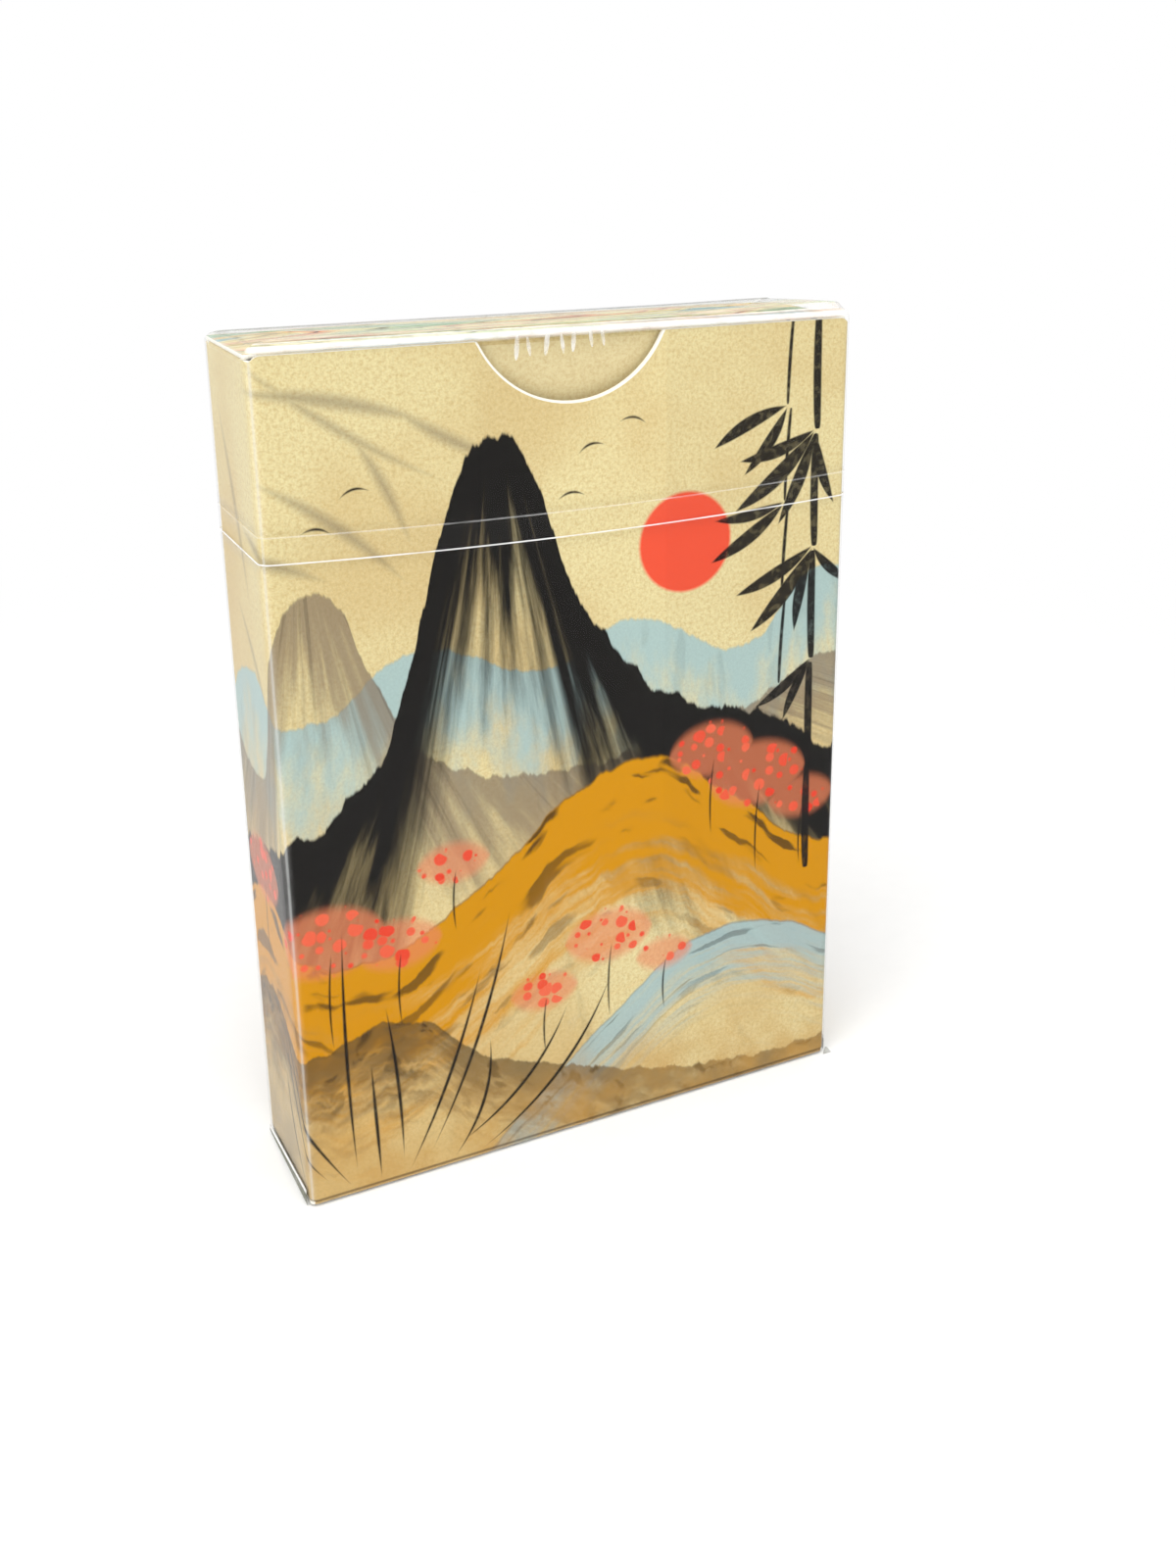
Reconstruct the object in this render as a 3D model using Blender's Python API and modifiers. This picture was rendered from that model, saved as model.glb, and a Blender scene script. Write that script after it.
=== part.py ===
"""Deck of playing cards in a paperboard tuck case with a clear film overwrap.

Metres, +Z up. The case stands on its lower end, its front panel faces -Y and the lid is at the top.
"""
import math

import bmesh
import bpy

MM = 0.001

# The cards: poker size, held in one upright stack.
CARD_W = 63.0 * MM
CARD_H = 88.0 * MM
CARD_R = 3.2 * MM
CARD_T = 0.235 * MM
CARD_AIR = 0.015 * MM
SUIT_CARDS = 52
SPARE_PLACES = 2

# The case: one folded and glued paperboard blank.
BOARD_T = 0.40 * MM
FOLD_R = 0.80 * MM
CREASE_GAP = 0.05 * MM
SIDE_PLAY = 0.70 * MM
BACK_PLAY = 0.40 * MM
FOOT_PLAY = 0.05 * MM
HEADROOM = 2.10 * MM
FLAP_SLOT = 1.90 * MM

# The thumb notch in the front panel, an arc set by its width and depth.
NOTCH_W = 20.0 * MM
NOTCH_DEPTH = 6.6 * MM
PANEL_CORNER_R = 1.6 * MM

# The tuck flap on the lid's front edge and the two dust flaps under the lid.
LID_FRONT_GAP = 0.10 * MM
TUCK_LEN = 9.4 * MM
TUCK_LEAN = math.radians(6.5)
TUCK_SIDE_GAP = 0.80 * MM
TUCK_CORNER_R = 4.0 * MM
TUCK_FRONT_GAP = 0.35 * MM
DUST_LEN = 9.0 * MM
DUST_BACK_GAP = 1.5 * MM
DUST_FRONT_GAP = 0.30 * MM
DUST_BACK_TAPER = 0.75
DUST_FRONT_TAPER = 0.30
DUST_CORNER_R = 1.0 * MM

# The film: a lower sleeve and an upper cap, parted by the tear tape.
FILM_T = 0.10 * MM
FILM_GAP = 0.10 * MM
TAPE_W = 2.8 * MM
TAPE_DROP = 19.8 * MM
TAPE_GAP = 0.05 * MM

# Sizes that follow from the ones above.
pitch = CARD_T + CARD_AIR
deck_d = (SUIT_CARDS + SPARE_PLACES) * pitch - CARD_AIR
case_w = CARD_W + 2 * (SIDE_PLAY + BOARD_T)
case_d = deck_d + BACK_PLAY + FLAP_SLOT + 2 * BOARD_T
case_h = 2 * BOARD_T + FOOT_PLAY + CARD_H + HEADROOM
case_z = FILM_T + FILM_GAP
top_z = case_z + case_h
lid_under_z = top_z - BOARD_T
dust_top_z = lid_under_z - CREASE_GAP
side_top_z = dust_top_z - BOARD_T - CREASE_GAP
front_y = -case_d / 2
back_y = case_d / 2
deck_front_y = back_y - BOARD_T - BACK_PLAY - deck_d
film_w = case_w + 2 * (FILM_GAP + FILM_T)
film_d = case_d + 2 * (FILM_GAP + FILM_T)
film_r = FOLD_R + FILM_GAP + FILM_T
film_h = case_h + 2 * (FILM_GAP + FILM_T)
tape_z = film_h - TAPE_DROP


def rounded(corners, steps=4):
    """Outline through (x, y, radius) corners, each turned into an arc of that radius."""
    points = []
    for i, (x, y, r) in enumerate(corners):
        if not r:
            points.append((x, y))
            continue
        px, py, _ = corners[i - 1]
        nx, ny, _ = corners[(i + 1) % len(corners)]
        a = math.atan2(py - y, px - x)
        b = math.atan2(ny - y, nx - x)
        turn = (b - a + math.pi) % (2 * math.pi) - math.pi
        reach = r / math.sin(abs(turn) / 2)
        cx = x + reach * math.cos(a + turn / 2)
        cy = y + reach * math.sin(a + turn / 2)
        start = a - math.copysign(math.pi / 2, turn)
        sweep = math.copysign(math.pi - abs(turn), -turn)
        for k in range(steps + 1):
            angle = start + sweep * k / steps
            points.append((cx + r * math.cos(angle), cy + r * math.sin(angle)))
    return points


def rectangle(w, d, r, steps=4):
    """Rounded rectangle about the origin, anticlockwise."""
    x, y = w / 2, d / 2
    return rounded([(-x, -y, r), (x, -y, r), (x, y, r), (-x, y, r)], steps)


def material(name, colour, roughness, alpha=1.0):
    """Principled material of one plain colour."""
    mat = bpy.data.materials.new(name)
    mat.use_nodes = True
    shader = mat.node_tree.nodes["Principled BSDF"]
    shader.inputs["Base Color"].default_value = (*colour, 1.0)
    shader.inputs["Roughness"].default_value = roughness
    shader.inputs["Metallic"].default_value = 0.0
    shader.inputs["Alpha"].default_value = alpha
    mat.diffuse_color = (*colour, alpha)
    return mat


def add(name, bm, collection, mat=None, location=(0, 0, 0), rotation=(0, 0, 0)):
    """Object from a bmesh, placed in the shared frame."""
    mesh = bpy.data.meshes.new(name)
    bm.to_mesh(mesh)
    bm.free()
    obj = bpy.data.objects.new(name, mesh)
    obj.location = location
    obj.rotation_euler = rotation
    if mat:
        mesh.materials.append(mat)
    collection.objects.link(obj)
    return obj


def plate(outline, low, high):
    """Solid sheet of the outline's shape between two heights."""
    bm = bmesh.new()
    face = bm.faces.new([bm.verts.new((x, y, low)) for x, y in outline])
    lifted = bmesh.ops.extrude_face_region(bm, geom=[face])
    verts = [v for v in lifted["geom"] if isinstance(v, bmesh.types.BMVert)]
    bmesh.ops.translate(bm, vec=(0, 0, high - low), verts=verts)
    bmesh.ops.recalc_face_normals(bm, faces=bm.faces)
    return bm


def wall_surface(outline, height, end):
    """Open upright surface over an anticlockwise outline, with a floor if it has an end."""
    bm = bmesh.new()
    low = [bm.verts.new((x, y, 0)) for x, y in outline]
    high = [bm.verts.new((x, y, height)) for x, y in outline]
    for i in range(len(outline)):
        bm.faces.new((low[i - 1], low[i], high[i], high[i - 1]))
    if end:
        bm.faces.new(low[::-1])
    return bm


def thicken(obj, wall):
    """Gives an outward-facing surface its wall, on the inside."""
    mod = obj.modifiers.new("wall", "SOLIDIFY")
    mod.thickness = wall
    mod.offset = -1.0
    mod.use_even_offset = True


def cut(obj, cutter):
    """Takes the cutter's shape out of the object."""
    mod = obj.modifiers.new(cutter.name, "BOOLEAN")
    mod.operation = "DIFFERENCE"
    mod.solver = "EXACT"
    mod.object = cutter
    cutter.hide_render = True
    cutter.display_type = "WIRE"


def block(x0, x1, y0, y1, z0, z1):
    """Plain box between two corners."""
    return plate([(x0, y0), (x1, y0), (x1, y1), (x0, y1)], z0, z1)


for old in list(bpy.data.objects):
    bpy.data.objects.remove(old, do_unlink=True)
deck = bpy.data.collections.new("playing_card_deck")
cutters = bpy.data.collections.new("cutters")
bpy.context.scene.collection.children.link(deck)
bpy.context.scene.collection.children.link(cutters)

printed_board = material("printed_board", (0.78, 0.67, 0.38), 0.45)
film = material("clear_film", (0.95, 0.96, 0.97), 0.08, 0.15)
tape = material("tear_tape", (0.93, 0.93, 0.90), 0.15, 0.45)
stock = material("card_stock", (0.90, 0.89, 0.85), 0.40)

# Case body: front, back and side panels with the glued bottom, an open box of board.
case_body = add(
    "carton_body", wall_surface(rectangle(case_w, case_d, FOLD_R, 3), case_h, True),
    deck, printed_board, (0, 0, case_z),
)
thicken(case_body, BOARD_T)

# Its back and sides stop below the lid and the dust flaps, and the front goes to the top.
clear_x, clear_z = case_w / 2 + MM, top_z + MM
behind_front_y = front_y + FOLD_R
lid_seat = block(-clear_x, clear_x, behind_front_y, back_y + MM, dust_top_z, clear_z)
cut(case_body, add("lid_seat_cutter", lid_seat, cutters))
flap_seat = block(-clear_x, clear_x, behind_front_y, back_y - FOLD_R, side_top_z, clear_z)
cut(case_body, add("flap_seat_cutter", flap_seat, cutters))

# Front panel's top edge: rounded outer corners and the thumb notch between them.
arc_r = (NOTCH_W ** 2 / 4 + NOTCH_DEPTH ** 2) / (2 * NOTCH_DEPTH)
half = math.asin(NOTCH_W / 2 / arc_r)
notch = []
for k in range(17):
    angle = half * (k / 8 - 1)
    notch.append((arc_r * math.sin(angle), arc_r - NOTCH_DEPTH - arc_r * math.cos(angle), 0))
edge = [(-clear_x, -PANEL_CORNER_R, 0), (-case_w / 2, -PANEL_CORNER_R, 0)]
edge += [(-case_w / 2, 0, PANEL_CORNER_R)] + notch + [(case_w / 2, 0, PANEL_CORNER_R)]
edge += [(case_w / 2, -PANEL_CORNER_R, 0), (clear_x, -PANEL_CORNER_R, 0)]
edge += [(clear_x, MM, 0), (-clear_x, MM, 0)]
front_edge = add(
    "front_edge_cutter", plate(rounded(edge), -FOLD_R, MM), cutters,
    None, (0, front_y, top_z), (math.pi / 2, 0, 0),
)
cut(case_body, front_edge)

# Lid panel, creased to the back panel; its origin is on that crease.
lid_len = case_d - BOARD_T - LID_FRONT_GAP
lid_corner = FOLD_R + 2 * LID_FRONT_GAP
lid_outline = rounded([
    (-case_w / 2, -lid_len, lid_corner), (case_w / 2, -lid_len, lid_corner),
    (case_w / 2, 0, FOLD_R), (-case_w / 2, 0, FOLD_R),
], 3)
add("lid_panel", plate(lid_outline, -BOARD_T, 0), deck, printed_board, (0, back_y, top_z))

# Tuck flap, creased to the lid's front edge and tucked in behind the front panel.
tuck_w = case_w - 2 * (BOARD_T + TUCK_SIDE_GAP)
tuck_y = front_y + BOARD_T + TUCK_FRONT_GAP + BOARD_T
tuck_outline = rounded([
    (-tuck_w / 2, -TUCK_LEN, TUCK_CORNER_R), (tuck_w / 2, -TUCK_LEN, TUCK_CORNER_R),
    (tuck_w / 2, -2 * CREASE_GAP, 0), (-tuck_w / 2, -2 * CREASE_GAP, 0),
], 5)
add(
    "tuck_flap", plate(tuck_outline, 0, BOARD_T), deck, printed_board,
    (0, tuck_y, lid_under_z), (math.pi / 2 + TUCK_LEAN, 0, 0),
)

# Dust flaps, creased to the side panels and folded in under the lid.
dust_back = back_y - DUST_BACK_GAP
dust_front = deck_front_y + DUST_FRONT_GAP
for side, name in ((-1, "dust_flap_left"), (1, "dust_flap_right")):
    reach = -side * DUST_LEN
    dust_outline = rounded([
        (0, dust_front, 0), (reach, dust_front + DUST_FRONT_TAPER * DUST_LEN, DUST_CORNER_R),
        (reach, dust_back - DUST_BACK_TAPER * DUST_LEN, DUST_CORNER_R), (0, dust_back, 0),
    ])
    dust = plate(dust_outline, -BOARD_T, 0)
    add(name, dust, deck, printed_board, (side * case_w / 2, 0, dust_top_z))

# Film below the tear tape: an open sleeve with the folded end that the deck stands on.
film_outline = rectangle(film_w, film_d, film_r, 3)
sleeve = add(
    "film_sleeve", wall_surface(film_outline, tape_z - TAPE_GAP, True), deck, film,
)
thicken(sleeve, FILM_T)

# Tear tape: the narrow band that parts the film when it is pulled.
tear_tape = add("tear_tape", wall_surface(film_outline, TAPE_W, False), deck, tape, (0, 0, tape_z))
thicken(tear_tape, FILM_T)

# Film above the tape: a cap over the case's top, made upside down and turned over.
cap_h = film_h - tape_z - TAPE_W - TAPE_GAP
cap = add(
    "film_cap", wall_surface(film_outline, cap_h, True), deck, film,
    (0, 0, film_h), (math.pi, 0, 0),
)
thicken(cap, FILM_T)

# Cards: the four suits, front to back, with a free place at each end of the stack.
card_outline = rectangle(CARD_W, CARD_H, CARD_R)
card_z = case_z + BOARD_T + FOOT_PLAY + CARD_H / 2
for number in range(1, SUIT_CARDS + 1):
    card_y = deck_front_y + (number * pitch) + CARD_T / 2
    card = plate(card_outline, -CARD_T / 2, CARD_T / 2)
    add(f"card_{number:02d}", card, deck, stock, (0, card_y, card_z), (math.pi / 2, 0, 0))
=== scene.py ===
"""Deck of playing cards in a printed paperboard tuck case, wrapped in clear film with a tear tape."""
import math

import bmesh
import bpy
from mathutils import Matrix, Vector, noise


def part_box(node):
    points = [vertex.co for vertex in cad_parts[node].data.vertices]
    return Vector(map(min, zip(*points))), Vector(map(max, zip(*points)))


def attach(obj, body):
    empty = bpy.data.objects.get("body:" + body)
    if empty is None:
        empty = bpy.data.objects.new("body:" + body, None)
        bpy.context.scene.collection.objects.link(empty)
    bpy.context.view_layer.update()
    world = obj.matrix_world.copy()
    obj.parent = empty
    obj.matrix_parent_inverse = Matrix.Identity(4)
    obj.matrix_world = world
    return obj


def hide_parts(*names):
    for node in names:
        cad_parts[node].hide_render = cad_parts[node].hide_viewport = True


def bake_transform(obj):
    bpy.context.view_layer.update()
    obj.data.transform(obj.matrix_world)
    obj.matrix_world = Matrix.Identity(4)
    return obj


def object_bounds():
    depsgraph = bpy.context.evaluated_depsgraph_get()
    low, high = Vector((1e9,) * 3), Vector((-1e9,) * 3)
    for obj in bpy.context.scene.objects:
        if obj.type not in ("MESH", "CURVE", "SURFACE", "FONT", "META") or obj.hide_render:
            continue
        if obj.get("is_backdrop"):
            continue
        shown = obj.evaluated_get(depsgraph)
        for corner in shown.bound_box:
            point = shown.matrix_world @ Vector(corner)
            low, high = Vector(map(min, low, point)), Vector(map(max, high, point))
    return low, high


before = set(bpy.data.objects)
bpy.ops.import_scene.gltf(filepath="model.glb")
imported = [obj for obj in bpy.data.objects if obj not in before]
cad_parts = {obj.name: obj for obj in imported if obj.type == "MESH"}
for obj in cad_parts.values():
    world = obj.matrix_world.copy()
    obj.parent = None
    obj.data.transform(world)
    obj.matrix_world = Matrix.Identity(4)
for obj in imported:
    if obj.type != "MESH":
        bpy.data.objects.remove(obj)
cad_box = [list(corner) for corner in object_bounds()]

# Studio: a white laminate table under one large overhead soft box and a smaller one at the left,
# with even light from the room. Away from the deck the table and the room show as plain white.
MM = 0.001


def linear(code):
    """Linear RGBA of an sRGB hex colour."""
    parts = [int(code[i:i + 2], 16) / 255 for i in (1, 3, 5)]
    return (*(c / 12.92 if c <= 0.04045 else ((c + 0.055) / 1.055) ** 2.4 for c in parts), 1.0)


def put(tree, kind, inputs=None, **settings):
    """Adds a node, by default a shader node, with its settings, and sets or links its inputs."""
    node = tree.nodes.new(kind if "Node" in kind else "ShaderNode" + kind)
    for key, value in settings.items():
        setattr(node, key, value)
    for key, value in (inputs or {}).items():
        if isinstance(value, bpy.types.Node):
            value = value.outputs[0]
        if isinstance(value, bpy.types.NodeSocket):
            tree.links.new(value, node.inputs[key])
        else:
            node.inputs[key].default_value = value
    return node


def fresh(name):
    """Empty material and its node tree."""
    mat = bpy.data.materials.new(name)
    mat.use_nodes = True
    mat.node_tree.nodes.clear()
    return mat, mat.node_tree


def piece(name, verts, faces, mats, face_mats=None, uvs=None, sharp=35):
    """Mesh object at the origin, with its materials, print map and smooth shading."""
    mesh = bpy.data.meshes.new(name)
    mesh.from_pydata([tuple(v) for v in verts], [], faces)
    for mat in mats:
        mesh.materials.append(mat)
    if face_mats:
        mesh.polygons.foreach_set("material_index", face_mats)
    if uvs:
        layer = mesh.uv_layers.new(name="print")
        layer.data.foreach_set("uv", [c for uv in uvs for c in uv])
    mesh.polygons.foreach_set("use_smooth", [True] * len(mesh.polygons))
    mesh.set_sharp_from_angle(angle=math.radians(sharp))
    mesh.update()
    obj = bpy.data.objects.new(name, mesh)
    bpy.context.scene.collection.objects.link(obj)
    return obj


def shown(tree):
    """One for rays of the camera, of gloss and through clear film, which see plain white."""
    path = put(tree, "LightPath").outputs
    seen = put(tree, "Math", {0: path["Is Camera Ray"], 1: path["Is Glossy Ray"]}, operation="MAXIMUM")
    return put(tree, "Math", {0: seen, 1: path["Is Transmission Ray"]}, operation="MAXIMUM").outputs[0]


# Table laminate: matt white with a very faint grain; it glows white only far from the deck.
TABLE_HALF, TABLE_Z, TABLE_GRAIN = 3.0, -0.02 * MM, 3.333 * MM
SHADOW_REACH, WHITE_REACH = 0.09, 0.26
table_mat, tree = fresh("matt_white_laminate")
spot = put(tree, "TexCoord").outputs["Object"]
grain = put(tree, "TexNoise", {"Vector": spot, "Scale": 1 / TABLE_GRAIN, "Detail": 3.0})
tint = put(tree, "Mix", {0: grain, 6: linear("#F7F7F6"), 7: linear("#FBFBFA")}, data_type="RGBA")
matt = put(tree, "BsdfDiffuse", {"Color": tint.outputs[2]})
glow = put(tree, "Emission", {"Strength": 1.0})
away = put(tree, "VectorMath", {0: spot}, operation="LENGTH")
away = put(tree, "MapRange", {0: away.outputs["Value"], 1: SHADOW_REACH, 2: WHITE_REACH},
           interpolation_type="SMOOTHSTEP")
white = put(tree, "Math", {0: shown(tree), 1: away}, operation="MULTIPLY")
top = put(tree, "MixShader", {0: white, 1: matt, 2: glow})
put(tree, "OutputMaterial", {"Surface": top})
t = TABLE_HALF
corners = [(-t, -t, TABLE_Z), (t, -t, TABLE_Z), (t, t, TABLE_Z), (-t, t, TABLE_Z)]
table = piece("table", corners, [(0, 1, 2, 3)], [table_mat])
table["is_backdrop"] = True

ROOM_LIGHT = 0.70
scene = bpy.context.scene
scene.view_settings.view_transform = "Standard"
scene.world = bpy.data.worlds.new("studio_room")
scene.world.use_nodes = True
tree = scene.world.node_tree
tree.nodes.clear()
walls = put(tree, "Background", {"Color": linear("#FFFFFF"), "Strength": ROOM_LIGHT})
backdrop = put(tree, "Background", {"Color": linear("#FFFFFF"), "Strength": 1.0})
room = put(tree, "MixShader", {0: shown(tree), 1: walls, 2: backdrop})
put(tree, "OutputWorld", {"Surface": room})

SOFT_BOXES = {
    "overhead_box": (0.50, 3.2, (-0.12, -0.25, 0.70)),
    "left_box": (0.30, 0.85, (-0.55, -0.20, 0.30)),
}
for name, (size, power, place) in SOFT_BOXES.items():
    data = bpy.data.lights.new(name, "AREA")
    data.size, data.energy = size, power
    lamp = bpy.data.objects.new(name, data)
    lamp.location = place
    lamp.rotation_euler = (Vector((0, 0, 0.05)) - Vector(place)).to_track_quat("-Z", "Y").to_euler()
    scene.collection.objects.link(lamp)

# The camera stands at the front left, a little above the deck, where the photograph was taken from.
PHOTO_W, PHOTO_H = 1200, 1600
FOCAL_PX, CENTRE_PX = 1662.3, (694.3, 645.7)
CAMERA_PLACE = (-67.44 * MM, -156.44 * MM, 113.06 * MM)
CAMERA_TILT, CAMERA_ROLL, CAMERA_TURN = 71.981, -0.255, -28.095
lens = bpy.data.cameras.new("camera")
lens.sensor_width = 36.0
lens.lens = lens.sensor_width * FOCAL_PX / PHOTO_H
lens.shift_x = (PHOTO_W / 2 - CENTRE_PX[0]) / PHOTO_H
lens.shift_y = (CENTRE_PX[1] - PHOTO_H / 2) / PHOTO_H
lens.clip_start = 0.01
camera = bpy.data.objects.new("camera", lens)
camera.location = CAMERA_PLACE
camera.rotation_euler = [math.radians(a) for a in (CAMERA_TILT, CAMERA_ROLL, CAMERA_TURN)]
scene.collection.objects.link(camera)
scene.camera = camera

# Case body: front, back, sides and bottom of one die-cut blank of coated white board, printed outside,
# then creased, folded and glued. Its cut edges, and all of its inside, are bare white board.
BOARD = 0.40 * MM
FOLD_R = 0.80 * MM
SIDE_DROP, BACK_DROP = 0.90 * MM, 0.45 * MM
NOTCH_X, NOTCH_HALF, NOTCH_DEPTH, NOTCH_LIP = -0.30 * MM, 10.05 * MM, 6.5 * MM, 0.35 * MM
PANEL_CORNER = 1.3 * MM
CORNER_DROP = 0.50 * MM
CUT_WHITE, CUT_ROUND = 0.24 * MM, 0.08 * MM
CASE_STEP, CLOSE_STEP, CLOSE_COUNT, CORNER_FROM = 1.5 * MM, 0.2 * MM, 57, 30.8 * MM
low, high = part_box("carton_body")
case_w, case_d = high.x - low.x, high.y - low.y
case_z, case_top = low.z, high.z
front_y, back_y = low.y, high.y
dust_low, dust_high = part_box("dust_flap_left")
PER_M = 10.0  # the print map runs in decimetres round the case and up it


def walk(s, w, d, r, inset=0.0):
    """Point at distance s round a rounded rectangle from the middle of its front, and its outward normal."""
    straight, side, turn = w - 2 * r, d - 2 * r, r * math.pi / 2
    s = (s + straight / 2) % (2 * (straight + side) + 4 * turn)
    start, normal = Vector((-straight / 2, -d / 2)), Vector((0, -1))
    for length in (straight, side, straight, side):
        along = Vector((-normal.y, normal.x))
        if s <= length:
            return start + along * s - normal * inset, normal
        s -= length
        centre = start + along * length - normal * r
        if s <= turn:
            normal = Matrix.Rotation(s / r, 2) @ normal
            return centre + normal * (r - inset), normal
        s -= turn
        normal = along
        start = centre + normal * r
    return start - normal * inset, normal


def stations(w, d, r, step, turn_steps=6):
    """Distances round a rounded rectangle, from the back end of its left side, and its whole length."""
    straight, side, turn = w - 2 * r, d - 2 * r, r * math.pi / 2
    s, marks = -(straight / 2 + turn + side), []
    for length in (side, straight) * 2:
        for run, count in ((length, max(2, round(length / step))), (turn, turn_steps)):
            marks += [s + run * k / count for k in range(count)]
            s += run
    return marks, s - marks[0]


arc_r = (NOTCH_HALF ** 2 + NOTCH_DEPTH ** 2) / (2 * NOTCH_DEPTH)
lip_end = math.sqrt((arc_r + NOTCH_LIP) ** 2 - (arc_r - NOTCH_DEPTH + NOTCH_LIP) ** 2)
lip_start = lip_end * arc_r / (arc_r + NOTCH_LIP)


def rim_drop(s):
    """How far the cut edge lies below the top of the case."""
    at, normal = walk(s, case_w, case_d, FOLD_R)
    x = abs(at.x - NOTCH_X)
    if normal.y > 0.5:
        return BACK_DROP
    if normal.y > -0.5:
        return SIDE_DROP if dust_low.y - 0.1 * MM < at.y < dust_high.y + 0.1 * MM else CORNER_DROP
    if x < lip_start:
        return math.sqrt(arc_r ** 2 - x ** 2) - arc_r + NOTCH_DEPTH
    if x < lip_end:
        return NOTCH_LIP - math.sqrt(NOTCH_LIP ** 2 - (lip_end - x) ** 2)
    past = max(0.0, abs(at.x) - case_w / 2 + PANEL_CORNER)
    return min(CORNER_DROP, PANEL_CORNER - math.sqrt(max(0.0, PANEL_CORNER ** 2 - past ** 2)))


# The walls have closer points round the notch, the front's rounded corners and the dust flaps' ends.
marks, case_round = stations(case_w, case_d, FOLD_R, CASE_STEP)
close = [k * CLOSE_STEP for k in range(-CLOSE_COUNT, CLOSE_COUNT + 1)]
close += [side * (CORNER_FROM + CLOSE_STEP * k) for side in (-1, 1) for k in range(5)]
side_start = case_w / 2 - FOLD_R + FOLD_R * math.pi / 2 - FOLD_R - front_y
for y in (dust_low.y, dust_high.y):
    close += [side * (side_start + y + step * MM) for side in (-1, 1) for step in (-0.15, -0.05, 0.05, 0.15)]
marks = sorted([m for m in marks if abs(m) > (CLOSE_COUNT + 0.5) * CLOSE_STEP] + close)
# Foot of the walls: front and back roll under in a fold; at the sides the bottom flap's cut edge shows.
FOOT_ROWS = ((0.00, 0.40, 0.08), (0.12, 0.12, 0.04), (0.40, 0.00, 0.04), (0.44, 0.00, 0.28),
             (0.52, 0.00, 0.28), (0.56, 0.00, 0.00))
rows, runs = [], []
for height, fold_inset, cut_inset in FOOT_ROWS:
    row = []
    for s in marks:
        share = walk(s, case_w, case_d, FOLD_R)[1].x ** 2
        inset = (fold_inset * (1 - share) + cut_inset * share) * MM
        row.append((*walk(s, case_w, case_d, FOLD_R, inset)[0], case_z + height * MM))
    rows.append(row)
    runs.append(marks)
# The die crushes the front's cut edge round; round the notch it is bare of ink for a short way in.
tops = [case_top - rim_drop(s) for s in marks]
inked = []
for i, (s, z) in enumerate(zip(marks, tops)):
    if walk(s, case_w, case_d, FOLD_R)[1].y > -0.5 or i in (0, len(marks) - 1):
        inked.append((s, z - 0.02 * MM))
        continue
    run, rise = marks[i + 1] - marks[i - 1], tops[i + 1] - tops[i - 1]
    reach = (CUT_WHITE if abs(s - NOTCH_X) < lip_end else 0.04 * MM) / math.hypot(run, rise)
    inked.append((s + rise * reach, z - run * reach))
rows.append([(*walk(s, case_w, case_d, FOLD_R)[0], z) for s, z in inked])
runs.append([s for s, z in inked])
for inset, height in ((CUT_ROUND, tops), (BOARD, tops), (BOARD, [case_z + BOARD] * len(marks))):
    rows.append([(*walk(s, case_w, case_d, FOLD_R, inset)[0], z) for s, z in zip(marks, height)])
    runs.append(marks)
count = len(marks)
verts = [p for row in rows for p in row]
places = [s for run in runs for s in run]
faces, bare, uvs = [], [], []
foot, wall = len(FOOT_ROWS) - 1, len(FOOT_ROWS)
for j in range(len(rows) - 1):
    for i in range(count):
        k = (i + 1) % count
        faces.append((j * count + i, j * count + k, (j + 1) * count + k, (j + 1) * count + i))
        lap = case_round if k == 0 else 0
        ends = (marks[i], marks[k] + lap)
        for far, v in zip((0, 1, 1, 0), faces[-1]):
            uvs.append(((places[v] + far * lap) * PER_M, verts[v][2] * PER_M))
        at_side = abs(walk((ends[0] + ends[1]) / 2, case_w, case_d, FOLD_R)[1].x) > 0.6
        bare.append(int(j >= wall or (j < foot and at_side)))
faces += [tuple(range(count))[::-1], tuple(range((len(rows) - 1) * count, len(rows) * count))]
bare += [0, 1]
for face in faces[-2:]:
    uvs += [(verts[v][0] * PER_M, verts[v][1] * PER_M) for v in face]

# Printed board: offset inks on coated stock under a thin matt varnish. A mountain view in brush and wash:
# soft fades and a fine mottle in the washes, crisp dark strokes on top, and pale rubbed folds with a
# painted highlight.
print_mat, tree = fresh("offset_printed_board")
flat = put(tree, "UVMap", uv_map="print")
spot = put(tree, "VectorMath", {0: flat, 1: (1000 / PER_M, 1000 / PER_M, 0), 2: (0, 0, 1)},
           operation="MULTIPLY_ADD").outputs[0]
axes = put(tree, "SeparateXYZ", {0: spot})
across, up = axes.outputs[0], axes.outputs[1]

brush = bpy.data.node_groups.new("brush_stroke", "ShaderNodeTree")
for name, kind in (("Spot", "Vector"), ("Along", "Vector"), ("Aside", "Vector"), ("Width", "Float"),
                   ("Bend", "Float"), ("Blunt", "Float"), ("Soft", "Float")):
    brush.interface.new_socket(name, in_out="INPUT", socket_type="NodeSocket" + kind)
brush.interface.new_socket("Cover", in_out="OUTPUT", socket_type="NodeSocketFloat")
given = put(brush, "NodeGroupInput").outputs
along = put(brush, "VectorMath", {0: given["Spot"], 1: given["Along"]}, operation="DOT_PRODUCT")
along = along.outputs["Value"]
aside = put(brush, "VectorMath", {0: given["Spot"], 1: given["Aside"]}, operation="DOT_PRODUCT")
aside = aside.outputs["Value"]
swell = put(brush, "Math", {0: along, 1: along}, operation="MULTIPLY")
swell = put(brush, "Math", {0: 1.0, 1: swell}, operation="SUBTRACT")
off = put(brush, "Math", {0: swell, 1: given["Bend"], 2: aside}, operation="MULTIPLY_ADD")
off = put(brush, "Math", {0: off}, operation="ABSOLUTE")
swell = put(brush, "Math", {0: swell, 1: 0.0}, operation="MAXIMUM")
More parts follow.
